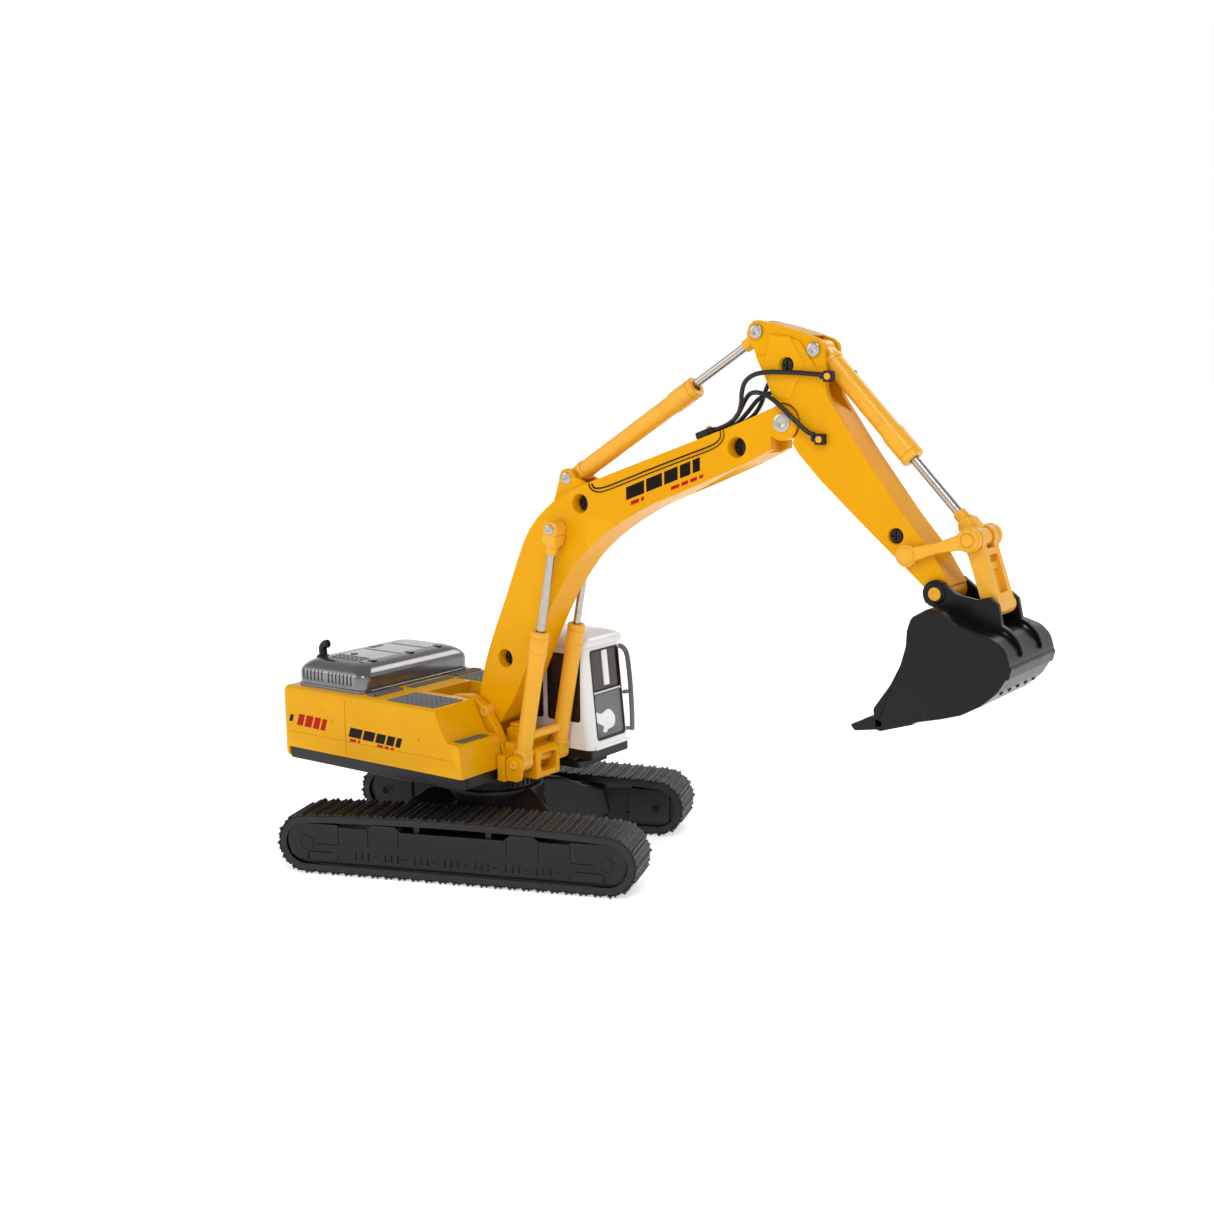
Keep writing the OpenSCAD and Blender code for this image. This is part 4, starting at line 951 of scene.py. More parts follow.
def hood():
    """The engine hood: a crowned shell with side slots, rear slots, hatch lines and louvres."""
    levels = [(0.0, 0.0), (4.0, 0.0), (4.9, 0.25), (5.8, 0.9), (6.6, 1.8), (7.2, 2.8), (7.6, 4.0),
              (7.8, 5.6)]
    shell = lofted([hood_level(DECK_TOP + rise, inset, 3.4) for rise, inset in levels])
    foot = lofted([hood_level(DECK_TOP, -0.35, 3.6), hood_level(DECK_TOP + 0.7, -0.35, 3.6),
                   hood_level(DECK_TOP + 1.0, 0.05, 3.4)])
    slots = []
    for side in (-1, 1):
        for i in range(13):
            x = HOOD_REAR + 3.0 + i * 1.5 + (1.2 if i > 5 else 0)
            y0, y1 = span(side, HOOD_HALF - 0.45, HOOD_HALF + 1)
            slots.append(soft_block((x, y0, DECK_TOP + 1.9), (x + 0.55, y1, DECK_TOP + 5.2), 0.2, 2))
    for i in range(12):
        y = -17 + i * 3
        slots.append(block((HOOD_REAR - 1, y, DECK_TOP + 1.7), (HOOD_REAR + 0.7, y + 1.5, DECK_TOP + 4.6)))
    # Joint lines of the top hatch
    top = HOOD_TOP
    for x in (-48.6, -33.2):
        slots.append(block((x, -17.2, top - 0.4), (x + 0.22, 17.2, top + 1)))
    for y in (-17.2, -2.1, 8.6, 17.0):
        slots.append(block((-48.6, y, top - 0.4), (-33.0, y + 0.22, top + 1)))
    shell = cut(shell, merged(*slots))
    parts = []
    # Raised hatch panels
    for y0, y1 in ((-16.6, -2.6), (-1.4, 8.1), (9.3, 16.6)):
        parts.append(soft_block((-48.0, y0, top - 0.6), (-33.6, y1, top + 0.12), 0.3, 3))
    # Rows of small louvres at the right-hand end, hinges, a latch and a lifting eye
    for row in range(3):
        for i in range(7):
            low = (-46.9 + i * 1.75, -15.8 + row * 1.5, top)
            parts.append(soft_block(low, (low[0] + 1.25, low[1] + 0.8, top + 0.38), 0.15, 2))
    for y in (-13, 2, 14):
        parts.append(lathe((-33.1, y - 1.1, top + 0.1), (0, 1, 0),
                           [(0, 0.3), (0.1, 0.42), (2.1, 0.42), (2.2, 0.3)], 20))
        parts.append(soft_block((-34.6, y - 0.9, top), (-31.8, y + 0.9, top + 0.3), 0.12, 2))
    parts.append(soft_block((-48.9, 0.8, top - 0.1), (-47.2, 5.4, top + 0.4), 0.2, 2))
    parts.append(lathe((-44.4, -9.2, top), (0, 0, 1), [(0, 1.1), (0.3, 1.1), (0.42, 0.95), (0.42, 0)], 28))
    piece("hood_shell", merged(shell, foot, *parts), "superstructure", "gunmetal", replaces=["engine_hood"])


EXHAUST_AT = (-50.6, -15.5)


def exhaust_pipe():
    """A bent pipe that stands on the hood and opens towards the front."""
    at = EXHAUST_AT
    path = spline([(at[0], at[1], HOOD_TOP - 1.4), (at[0], at[1], HOOD_TOP + 1.2),
                   (at[0] + 0.1, at[1] - 0.1, HOOD_TOP + 2.3), (at[0] + 0.9, at[1], HOOD_TOP + 3.3),
                   (at[0] + 2.0, at[1] + 0.1, HOOD_TOP + 3.6)], 6)
    pipe = swept(path, 1.2, 24)
    bore = swept([path[-3], path[-1] + (path[-1] - path[-2]) * 2], 0.85, 20)
    collar = lathe((at[0], at[1], HOOD_TOP - 0.7), (0, 0, 1),
                   [(0, 1.9), (0.6, 1.9), (0.9, 1.6), (0.9, 1.1)], 32)
    piece("exhaust_pipe", merged(cut(pipe, bore), collar), "superstructure", "black_plastic",
          replaces=["exhaust"])


deck()
skirt()
hood()
exhaust_pipe()


# ---- Grip mats ----

MAT_RISE = 0.22
GRILLE_RISE = 0.6
# x from, x to, y from, y to and the height of each mat
MAT_PLACES = ((-17.5, 0.0, -23.4, -12.0, DECK_TOP), (-22.0, -5.0, 9.8, 21.8, DECK_TOP),
              (5.9, 8.8, -22.4, -12.0, POD_TOP), (-25.8, -22.6, -7.6, 9.4, DECK_TOP))


def tread_mat(x0, x1, y0, y1, z, rise):
    """A thin plate with rows of small raised lozenges."""
    parts = [soft_block((x0, y0, z), (x1, y1, z + rise), 0.12, 2)]
    pitch = 0.92
    columns, rows = int((x1 - x0 - 0.3) / pitch), int((y1 - y0 - 0.3) / pitch)
    for i in range(columns):
        for j in range(rows):
            middle = Vector((x0 + 0.6 + i * pitch, y0 + 0.6 + j * pitch, z + rise))
            turn = 0.7 if (i + j) % 2 else -0.7
            stud = lofted([(0, [(-0.4, 0), (0, -0.2), (0.4, 0), (0, 0.2)]),
                           (0.16, [(-0.26, 0), (0, -0.08), (0.26, 0), (0, 0.08)])])
            parts.append(moved(stud, Matrix.Translation(middle) @ Matrix.Rotation(turn, 4, "Z")))
    return merged(*parts)


def grille_strip(x0, x1, y0, y1, z, rise):
    """A frame with a row of slanting bars."""
    parts = [soft_block((x0, y0, z), (x1, y1, z + 0.2), 0.08, 1)]
    for low, high in (((x0, y0), (x1, y0 + 0.4)), ((x0, y1 - 0.4), (x1, y1)), ((x0, y0), (x0 + 0.4, y1)),
                      ((x1 - 0.4, y0), (x1, y1))):
        parts.append(soft_block((*low, z), (*high, z + rise), 0.1, 2))
    count = int((y1 - y0) / 0.8) - 1
    for i in range(count):
        y = y0 + 0.7 + i * 0.8
        parts.append(soft_block((x0 + 0.4, y, z), (x1 - 0.4, y + 0.36, z + rise - 0.1), 0.08, 1))
    return merged(*parts)


def grip_mats():
    parts = [tread_mat(*place, MAT_RISE) for place in MAT_PLACES]
    parts += [grille_strip(-26.4, -23.4, y0, y1, DECK_TOP, GRILLE_RISE)
              for y0, y1 in ((-22, -11), (11, 22))]
    piece("tread_mats", merged(*parts), "superstructure", "grey_trim", replaces=["grip_mats"])


# ---- Cab ----

CAB_RIGHT, CAB_LEFT = 10.5, 28.0
CAB_FRONT, CAB_REAR = 26.9, -3.4
RAKE = 0.1
CAB_LOW = 28.8
ROOF_EDGE = 58.0
WALL = 1.0
FRONT_WINDOW = ((12.9, 44.6), (25.8, 56.2))
FRONT_PANEL = ((12.9, 31.2), (25.8, 44.2))
RIGHT_WINDOWS = (((-1.2, 36.4), (9.6, 55.2)), ((11.2, 36.4), (22.6, 55.2)))
LEFT_WINDOWS = ([(-1.2, 42.0), (6.2, 42.0), (6.2, 55.2), (-1.2, 55.2)],
                [(8.4, 36.0), (15.4, 36.0), (15.4, 55.2), (8.4, 55.2)],
                [(17.4, 40.0), (24.0, 40.0), (23.2, 48.4), (22.2, 55.2), (17.4, 55.2)])
REAR_WINDOW = ((13.0, 46.0), (25.5, 55.0))


def window_ring(outline, place, depth, width=0.45):
    """A rubber seal: a narrow frame that follows a window's outline."""
    centre = sum((Vector(p) for p in outline), Vector((0, 0))) / len(outline)
    shape = rounded(outline, 0.9, 4)
    inner = [centre + (p - centre) * (1 - width / max((p - centre).length, 1)) for p in shape]
    rings = ((shape, 0), (shape, depth), (inner, depth), (inner, 0))
    return skinned([[place(p, lift) for p in ring] for ring, lift in rings], loop=True)


def pane(outline, place, thickness):
    shape = rounded(outline, 0.9, 4)
    return skinned([[place(p, lift) for p in shape] for lift in (0, thickness)])


def windscreen_x(z):
    return CAB_FRONT - RAKE * (z - CAB_LOW)


def on_windscreen(p, lift):
    return windscreen_x(p[1]) + lift, p[0], p[1]


def facing(axis, level, outward):
    """Turns an outline point and a lift into 3-D on a wall across the X or the Y axis."""
    if axis == "x":
        return lambda p, lift: (level + outward * lift, p[0], p[1])
    return lambda p, lift: (p[0], level + outward * lift, p[1])


def cab_windows():
    """Every window as (outline, place function of its wall)."""
    windows = [(rectangle(*FRONT_WINDOW), on_windscreen),
               (rectangle(*REAR_WINDOW), facing("x", CAB_REAR, -1))]
    windows += [(rectangle(*w), facing("y", CAB_RIGHT, -1)) for w in RIGHT_WINDOWS]
    windows += [(outline, facing("y", CAB_LEFT, 1)) for outline in LEFT_WINDOWS]
    return windows


def cab_shell():
    levels, inner = [], []
    for z in (CAB_LOW, ROOF_EDGE):
        levels.append((z, rounded(rectangle((CAB_REAR, CAB_RIGHT), (windscreen_x(z), CAB_LEFT)),
                                  [1.6, 3.0, 2.6, 1.6], 8)))
    for z in (CAB_LOW - 1, ROOF_EDGE - 0.8):
        inner.append((z, rectangle((CAB_REAR + WALL, CAB_RIGHT + WALL),
                                   (windscreen_x(z) - WALL, CAB_LEFT - WALL))))
    walls = cut(lofted(levels), lofted(inner))
    holes = []
    for outline, place in cab_windows() + [(rectangle(*FRONT_PANEL), on_windscreen)]:
        holes.append(pane(outline, lambda p, lift, place=place: place(p, lift * 2 - 2.0), 2.0))
    walls = cut(walls, merged(*holes))
    # Roof: a crowned cap that stands a little proud of the walls
    levels = [(ROOF_EDGE - 0.9, -0.25, 2.2), (ROOF_EDGE - 0.6, -0.5, 2.4), (ROOF_EDGE + 0.5, -0.55, 2.5),
              (ROOF_EDGE + 1.3, -0.2, 2.6), (ROOF_EDGE + 1.9, 0.7, 2.8), (ROOF_EDGE + 2.5, 2.4, 3.0),
              (ROOF_EDGE + 2.9, 4.4, 3.0), (ROOF_EDGE + 3.1, 6.4, 1.2)]
    rings = []
    for z, inset, radius in levels:
        low, high = (CAB_REAR + inset, CAB_RIGHT + inset), (windscreen_x(z) + 0.3 - inset, CAB_LEFT - inset)
        rings.append((z, rounded(rectangle(low, high), radius, 8)))
    roof = lofted(rings)
    # Vertical bar down the middle of the windscreen, and a sill along the foot of the front
    middle = (CAB_RIGHT + CAB_LEFT) / 2 + 0.4
    bar_side = [(windscreen_x(45.8) - 0.9, 45.8), (windscreen_x(45.8) + 0.05, 45.8),
                (windscreen_x(ROOF_EDGE) + 0.05, ROOF_EDGE), (windscreen_x(ROOF_EDGE) - 0.9, ROOF_EDGE)]
    bar_shape = soft_plate(bar_side, middle - 1.2, middle + 1.2, 0.3, 3)
    sill = soft_block((CAB_FRONT - 0.7, CAB_RIGHT + 1.2, CAB_LOW),
                      (CAB_FRONT + 0.35, CAB_LEFT - 0.6, CAB_LOW + 0.9), 0.3, 3)
    # Door seam and handle on the left wall
    seams = [block((x, CAB_LEFT - 0.15, 31), (x + 0.2, CAB_LEFT + 1, 56.4)) for x in (7.1, 16.3)]
    seams.append(block((7.1, CAB_LEFT - 0.15, 31), (16.5, CAB_LEFT + 1, 31.2)))
    walls = cut(walls, merged(*seams))
    handle = soft_block((8.2, CAB_LEFT - 0.1, 34.0), (11.4, CAB_LEFT + 0.35, 35.0), 0.2, 2)
    piece("cab_casting", merged(walls, roof, bar_shape, sill, handle), "superstructure", "white_cab",
          replaces=["cab_shell"])


def cab_seals():
    rings = []
    for outline, place in cab_windows():
        rings.append(window_ring(outline, lambda p, lift, place=place: place(p, lift - 0.35), 0.45))
    whole = rectangle(FRONT_PANEL[0], FRONT_WINDOW[1])
    rings.append(window_ring(whole, lambda p, lift: on_windscreen(p, lift - 0.3), 0.45, 0.6))
    piece("cab_seals", merged(*rings), "superstructure", "black_plastic")


def cab_glazing():
    """The panes behind every window, and the panel below the windscreen."""
    panes = []
    for outline, place in cab_windows():
        panes.append(pane(outline, lambda p, lift, place=place: place(p, lift - 0.75), 0.35))
    piece("cab_panes", merged(*panes), "superstructure", "smoked_glass", replaces=["cab_glass"])
    # Lower front panel with two ribs
    panel = pane(rectangle(*FRONT_PANEL), lambda p, lift: on_windscreen(p, lift - 0.7), 0.4)
    low, high = FRONT_PANEL
    extras = []
    for z in (high[1] - 1.3, low[1] + 1.0):
        x = windscreen_x(z)
        extras.append(soft_block((x - 0.5, low[0] + 1.2, z), (x - 0.1, high[0] - 1.2, z + 0.7), 0.2, 2))
    piece("cab_lower_panel", merged(panel, *extras), "superstructure", "grey_trim")
    # A painted reflection: a pale patch in the cab's white laid on the panel, where the glossy panel shows
    # reflected light
    patch = spline([(13.4, 39.1), (15.8, 38.3), (19.1, 39.1), (21.1, 37.9), (22.0, 36.1), (21.1, 34.1),
                    (18.5, 33.6), (17.5, 32.9), (16.0, 33.3), (16.5, 34.7), (13.5, 36.5)], 3, closed=True)
    patch = [Vector(p) for p in patch]
    sheet = lofted([(0, patch), (0.1, patch)])
    lift = Matrix(((0, -RAKE, 1, windscreen_x(0) - 0.32), (1, 0, 0, 0), (0, 1, 0, 0), (0, 0, 0, 1)))
    piece("cab_panel_painted_reflection", moved(sheet, lift), "superstructure", "white_cab")


def cab_interior():
    """Seat, armrests with levers, dashboard and floor, seen through the smoked glass."""
    middle = (CAB_RIGHT + CAB_LEFT) / 2
    cushion = soft_block((0.6, middle - 3.2, CAB_LOW + 3.4), (9.4, middle + 3.2, CAB_LOW + 6.4), 1.0, 4)
    back = soft_plate([(0.2, CAB_LOW + 5.4), (2.8, CAB_LOW + 5.4), (1.6, CAB_LOW + 17),
                       (-1.0, CAB_LOW + 17)], middle - 3.3, middle + 3.3, 0.9, 4)
    pillow = soft_block((-1.2, middle - 2.0, CAB_LOW + 17.4), (0.8, middle + 2.0, CAB_LOW + 20.2), 0.7, 4)
    plinth = soft_block((1.4, middle - 2.6, CAB_LOW), (8.6, middle + 2.6, CAB_LOW + 3.6), 0.3, 2)
    arms = [soft_block((2.5, middle + s * 4.6 - 0.8, CAB_LOW),
                       (10.0, middle + s * 4.6 + 0.8, CAB_LOW + 7.8), 0.35, 3) for s in (-1, 1)]
    levers = [swept([(9, middle + s * 4.6, CAB_LOW + 7.5), (9.6, middle + s * 4.6, CAB_LOW + 10.2)], 0.35,
                    12) for s in (-1, 1)]
    knobs = [lathe((9.6, middle + s * 4.6, CAB_LOW + 10.0), (0.2, 0, 1),
                   [(0, 0.3), (0.3, 0.65), (1.1, 0.7), (1.5, 0.4), (1.6, 0)], 20) for s in (-1, 1)]
    dash = soft_plate([(20, CAB_LOW), (24.6, CAB_LOW), (23.6, CAB_LOW + 11), (22.0, CAB_LOW + 12.5)],
                      middle - 5.2, middle + 5.2, 0.5, 3)
    floor = block((CAB_REAR + 1.1, CAB_RIGHT + 1.1, CAB_LOW),
                  (CAB_FRONT - 1.4, CAB_LEFT - 1.1, CAB_LOW + 0.5))
    piece("cab_seat_and_console", merged(cushion, back, pillow, plinth, *arms, *levers, *knobs, dash,
                                         floor), "superstructure", "seat_grey", replaces=["cab_seat"])


def cab_base():
    """The black plate that carries the cab, with its notches and two steps."""
    outline = [(-3.0, 25.1), (13.8, 25.1), (13.8, 26.6), (17.6, 26.6), (17.6, 25.1), (20.2, 25.1),
               (20.2, 26.4), (22.0, 26.4), (22.0, 25.1), (26.2, 26.0), (26.2, CAB_LOW), (-3.0, CAB_LOW)]
    base = soft_plate(outline, CAB_RIGHT + 0.3, CAB_LEFT - 0.3, 0.35, 3)
    steps = [soft_block((x, CAB_LEFT - 0.4, 25.4), (x + 4, CAB_LEFT + 0.4, 26.2), 0.2, 2) for x in (3, 9)]
    piece("cab_base_plate", merged(base, *steps), "superstructure", "black_plastic", replaces=["cab_base"])


def handrail():
    """A bowed rail in front of the door, on two mounts."""
    x, y = 25.4, CAB_LEFT + 1.5
    path = spline([(x - 2.4, CAB_LEFT - 1.0, 55.4), (x - 1.7, CAB_LEFT + 0.2, 55.2),
                   (x - 1.0, y - 0.3, 54.0), (x - 0.4, y, 51.8), (x + 0.1, y + 0.2, 47),
                   (x + 0.4, y + 0.4, 41.6), (x + 0.6, y + 0.5, 36), (x + 0.6, y + 0.5, 31.0)], 8)
    rail = swept(path, 0.72, 20)
    mounts = []
    for z in (31.6, 42.2):
        mounts.append(soft_block((x - 1.3, CAB_LEFT - 0.3, z - 0.45), (x + 0.3, y + 0.2, z + 0.45), 0.2, 2))
    piece("grab_rail", merged(rail, *mounts), "superstructure", "grey_trim", replaces=["handrail"])


grip_mats()
cab_shell()
cab_seals()
cab_glazing()
cab_interior()
cab_base()
handrail()


# ---- Boom bracket ----

FOOT_ROOM = 10.2
EAR_OUT = 11.5
BRACKET_LOW = 23.3


def boom_bracket():
    """Cheeks beside the boom's foot, front plate, coupling box, cylinder lug and gaiter."""
    cheek = rounded([(-8, 26.6), (-8, 44.2), (-1.0, 44.9), (4.0, 42.6), (8.4, 36.2), (12.4, 27.6),
                     (12.4, BRACKET_LOW), (10.7, BRACKET_LOW), (10.7, 26.6)], [0, 1, 3, 4, 6, 2, 0, 0, 0],
                    5)
    cheek = soft_plate(cheek, 5.35, 8.3, 0.5, 3)
    floor = block((-8, -6, 26.6), (11, 6, 30))
    front = soft_block((11, -EAR_OUT, BRACKET_LOW), (13.7, FOOT_ROOM, 30.4), 0.4, 3)
    box_outline = rounded([(13, BRACKET_LOW), (19.6, BRACKET_LOW), (19.6, 30.6), (18.2, 31.8), (13, 31.8)],
                          [0, 1, 1, 1, 0], 4)
    box = soft_plate(box_outline, -5.0, 5.0, 0.45, 3)
    pocket = soft_block((14.6, -3.3, 25.2), (24, 3.3, 30.2), 1.0, 4)
    bridge = soft_block((10.8, -8.0, 29.5), (14.4, 8.0, 33.2), 0.5, 3)
    base = cut(fused(front, box), pocket)
    ear = rounded([(14.2, 24.0), (18.8, 24.0), (19.4, 28.4), (14.2, 29.4)], [0.8, 1.2, 0, 0], 4)
    ear = fused(side_plate(ear, -EAR_OUT, -FOOT_ROOM), y_bar(BOOM_CYL_FOOT, 2.6, -EAR_OUT, -FOOT_ROOM, 48))
    ear = softened(ear, 0.35, 3)
    # Stepped gaiter in front of the boom foot
    steps = []
    for i in range(5):
        x, z = 8.9 + i * 0.28, 32.6 + i * 0.95
        steps.append(soft_block((x - 1.4, -3.6 + i * 0.15, z),
                                (x + 3.2 - i * 0.42, 3.6 - i * 0.15, z + 1.0), 0.3, 2))
    foot_lug = [soft_plate([(8, 30), (13.8, 30), (12.6, 34.6), (8, 36)], s * 5.2 - 0.6, s * 5.2 + 0.6, 0.3,
                           2) for s in (-0.6, 0.6)]
    room = [y_bar(BOOM_CYL_FOOT, 3.1, s * 5.2 if s > 0 else -FOOT_ROOM, FOOT_ROOM if s > 0 else -5.2)
            for s in (-1, 1)]
    base = cut(base, *room)
    piece("bracket_casting", merged(cheek, mirrored(cheek), floor, base, bridge, ear, *steps, *foot_lug),
          "superstructure", "yellow_arm", replaces=["boom_bracket"])


def pin_cap(at, y, side, radius, rise=0.35):
    """A domed rivet head with a dimple, facing outwards at one end of a pin."""
    profile = [(-0.3, radius), (rise * 0.4, radius), (rise * 0.8, radius * 0.86), (rise, radius * 0.6),
               (rise * 0.9, radius * 0.42), (rise * 0.45, radius * 0.3), (rise * 0.4, 0)]
    return lathe((at[0], y, at[1]), (0, side, 0), profile, 36)


def riveted_pin(node, at, radius, half, material="pin_steel", head=None):
    head = head or radius + 0.45
    parts = [y_bar(at, radius, -half, half)]
    parts += [pin_cap(at, s * half, s, head) for s in (-1, 1)]
    piece(node + "_rivet", merged(*parts), frame["nodes"][node]["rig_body"], material, replaces=[node])


# ---- Boom ----

BOOM_HALF = 5.0
BOOM_BACK = [(-0.6, 42.2), (0.4, 47), (2.6, 54.8), (6.4, 64.2), (10.4, 73), (14.2, 82), (17.4, 88.8),
             (20.6, 93.2), (24.6, 96.8), (29, 99.9), (34.6, 102.4), (42.1, 105.1), (54.5, 109.3),
             (72.1, 115.3), (83.2, 119.2), (91.6, 122.5)]
BOOM_BELLY = [(91.4, 113.0), (88.6, 111.6), (83.2, 109.1), (72, 104.5), (60.4, 100), (54.3, 97.3),
              (48.2, 94), (41.6, 89.7), (35.8, 84.8), (31.6, 79.9), (28, 75), (24.6, 69.4), (20.6, 62),
              (16.2, 52.8), (12.2, 45), (8.6, 40)]
BOOM_SCREWS = [(9.4, 55.6), (35.6, 98.4), (82.2, 113.4)]
TIP_RADIUS = 4.1
TONGUE_HALF = 2.5
SIDE_GAP = 0.3


def screw(at, y, radius, depth):
    """A cross-head screw sunk in its recess on the right side; y is its head's outer face."""
    head = lathe((at[0], y + 1.0, at[1]), (0, -1, 0), [(0, radius), (0.7, radius), (1.0, radius * 0.8),
            (1.0, 0)], 28)
    cross = merged(block((at[0] - radius * 0.62, y - 1, at[1] - 0.2),
                         (at[0] + radius * 0.62, y + 0.5, at[1] + 0.2)),
                   block((at[0] - 0.2, y - 1, at[1] - radius * 0.62),
                         (at[0] + 0.2, y + 0.5, at[1] + radius * 0.62)))
    return merged(cut(head, cross), y_bar(at, 0.75, y + 0.9, y + depth, 20))


def boom():
    """The boom as one casting with its ears, and the cross-head screws in their recesses."""
    outline = spline(BOOM_BACK, 4) + spline(BOOM_BELLY, 4)
    arm = side_plate(outline, -BOOM_HALF, BOOM_HALF)
    tongue_room = TONGUE_HALF + SIDE_GAP
    slot = side_plate([BOOM_TIP + Vector(d) for d in ((-4.6, -9), (-4.6, -2), (-3.2, 4.0), (-1, 8), (8, 8),
            (8, -9))], -tongue_room, tongue_room)
    cheeks = [y_bar(BOOM_TIP, TIP_RADIUS, *span(s, tongue_room, BOOM_HALF), 56) for s in (-1, 1)]
    front_cut = block((BOOM_TIP.x + 0.1, -8, 108), (BOOM_TIP.x + 12, 8, 130))
    arm = cut(arm, front_cut)
    arm = fused(arm, y_bar(BOOM_FOOT, 4.5, -BOOM_HALF, BOOM_HALF, 56), *cheeks)
    arm = cut(arm, slot, y_bar(BOOM_TIP, 4.7, -tongue_room, tongue_room, 56))
    arm = softened(arm, 0.9, 4, 35)
    holes = [lathe((at[0], -BOOM_HALF - 1, at[1]), (0, 1, 0),
                   [(0, 2.6), (0.95, 2.6), (1.4, 2.3), (4.2, 2.15)], 40) for at in BOOM_SCREWS]
    holes.append(side_plate(rounded([(25.6, 100.6), (28.2, 106.6), (33.2, 107.0), (35.6, 100.6)], 1, 3),
                            -2.5, 2.5))
    arm = cut(arm, *holes)
    ears = []
    for s in (-1, 1):
        y0, y1 = span(s, 2.5, 4.1)
        web = side_plate([(25.6, 96.6), (STICK_CYL_FOOT.x - 2.1, STICK_CYL_FOOT.y + 0.4),
                          (STICK_CYL_FOOT.x + 2.1, STICK_CYL_FOOT.y + 0.6), (38.2, 102.8)], y0, y1)
        ears.append(softened(fused(web, y_bar(STICK_CYL_FOOT, 2.4, y0, y1, 40)), 0.3, 3))
        # Raised ring round the boom cylinder's pin
        ears.append(lathe((BOOM_CYL_EYE.x, s * (BOOM_HALF - 0.1), BOOM_CYL_EYE.y), (0, s, 0),
                          [(0, 2.6), (0.3, 2.6), (0.5, 2.4), (0.5, 1.0)], 40))
    piece("boom_casting", merged(arm, *ears), "boom", "yellow_arm", replaces=["boom_right", "boom_left"])
    screws = [screw(at, -2.9, 1.95, 5.5) for at in BOOM_SCREWS]
    piece("boom_cross_screws", merged(*screws), "boom", "black_screw", replaces=["boom_screws"])


def pinstripe(side):
    """Two thin printed lines that follow the boom's back and turn down at the front and up at the rear."""
    y = side * (BOOM_HALF + 0.03)
    lines = []
    for inset in (0.0, 0.95):
        path = spline([(38.6 + inset, 103.6), (39.4 + inset, 102.2 + inset * 0.5), (41.6, 101.6 + inset),
                       (44.8, 102.3 + inset), (55.6, 106.1 + inset), (66, 109.7 + inset),
                       (74.6, 112.6 + inset), (77.6 - inset * 0.6, 114.2 + inset * 0.7),
                       (78.7 - inset, 116.0), (78.5 - inset, 117.6)], 6)
        lines.append(swept([(p[0], y, p[1]) for p in path], 0.26 + inset * 0.06, 6, 0.3))
    return merged(*lines)


def slanted_marks(start, heading, lengths, height, y, side, lean=0.35):
    """A row of printed parallelograms along a heading in the side view: a plain decoration."""
    along = Vector((math.cos(math.radians(heading)), math.sin(math.radians(heading))))
    across = Vector((-along.y, along.x))
    parts, place = [], Vector(start)
    for length in lengths:
        low, high = place, place + across * height + along * height * lean
        outline = [low, low + along * length, high + along * length, high]
        y0, y1 = span(side, y - 0.2, y + 0.05)
        parts.append(side_plate(outline, y0, y1))
        place = place + along * (length + 0.7)
    return merged(*parts)


INKS = {"marks": "black_print", "accent": "red_print"}
# Rows of printed blocks on each flank: first corner, heading in degrees, lengths, height
BOOM_PRINTS = {
    "marks": [((50.2, 99.8), 20.0, (5.8, 5.0, 4.2, 3.2, 2.2), 3.0)],
    "accent": [((51.6, 98.6), 20.0, (2.6, 0.9), 0.9), ((63.6, 102.7), 20.0, (2.6, 2.0, 2.0, 1.2), 0.8)],
}
DECK_PRINTS = {"right": {"marks": [((-31.4, 32.6), -1.5, (4.8, 4.2, 3.4, 2.8, 1.8), 2.7),
                                   ((-55.6, 34.0), -1.5, (1.4,), 2.0)],
                         "accent": [((-31.0, 31.3), -1.5, (2.4, 0.9), 0.8),
                                    ((-20.4, 31.2), -1.5, (2.2, 1.6, 1.2), 0.7),
                                    ((-52.4, 33.2), -1.5, (2.4, 2.8, 2.4, 1.8), 3.4)]},
               "left": {"accent": [((-50.4, 29.2), 0, (8.0, 3.0, 1.4), 1.6)]}}


def prints():
    """Plain slanted blocks where such a toy carries printing."""
    for name, side in SIDES.items():
        piece(f"boom_pinstripe_{name}", pinstripe(side), "boom", "black_print")
        for place, body, half, flank in (("boom", "boom", BOOM_HALF, BOOM_PRINTS),
                                         ("deck", "superstructure", DECK_HALF, DECK_PRINTS[name])):
            for kind, rows in flank.items():
                blocks = [slanted_marks(start, heading, lengths, height, half, side)
                          for start, heading, lengths, height in rows]
                piece(f"{place}_{kind}_{name}", merged(*blocks), body, INKS[kind])


CLAMP_AT = (70.6, 114.9)
CLAMP_SLOPE = math.atan2(2.3, 6.4)


def hose_clamp():
    """A block across the boom's back with four hose sleeves, held by a peg."""
    turn = Matrix.Translation((CLAMP_AT[0], 0, CLAMP_AT[1])) @ Matrix.Rotation(-CLAMP_SLOPE, 4, "Y")
    base = soft_block((0, -4.4, 0), (3.6, 4.4, 1.7), 0.35, 3)
    sleeves = [lathe((3.3, y, 0.9), (1, 0, 0), [(0, 0.9), (0.9, 0.9), (1.5, 0.66), (1.7, 0.62)], 20)
               for y in (-3.2, -1.4, 1.4, 3.2)]
    collar = lathe((1.6, 0, 1.6), (0, 0, 1), [(0, 1.2), (0.3, 1.2), (0.45, 1.0), (0.45, 0)], 28)
    peg = lathe((1.6, 0, 1.9), (0, 0, 1), [(0, 0.72), (0.65, 0.72), (0.85, 0.5), (0.85, 0)], 28)
    piece("clamp_block", moved(merged(base, collar, *sleeves), turn), "boom", "black_plastic",
          replaces=["hose_clamp"])
    piece("clamp_peg", moved(peg, turn), "boom", "yellow_linkage")


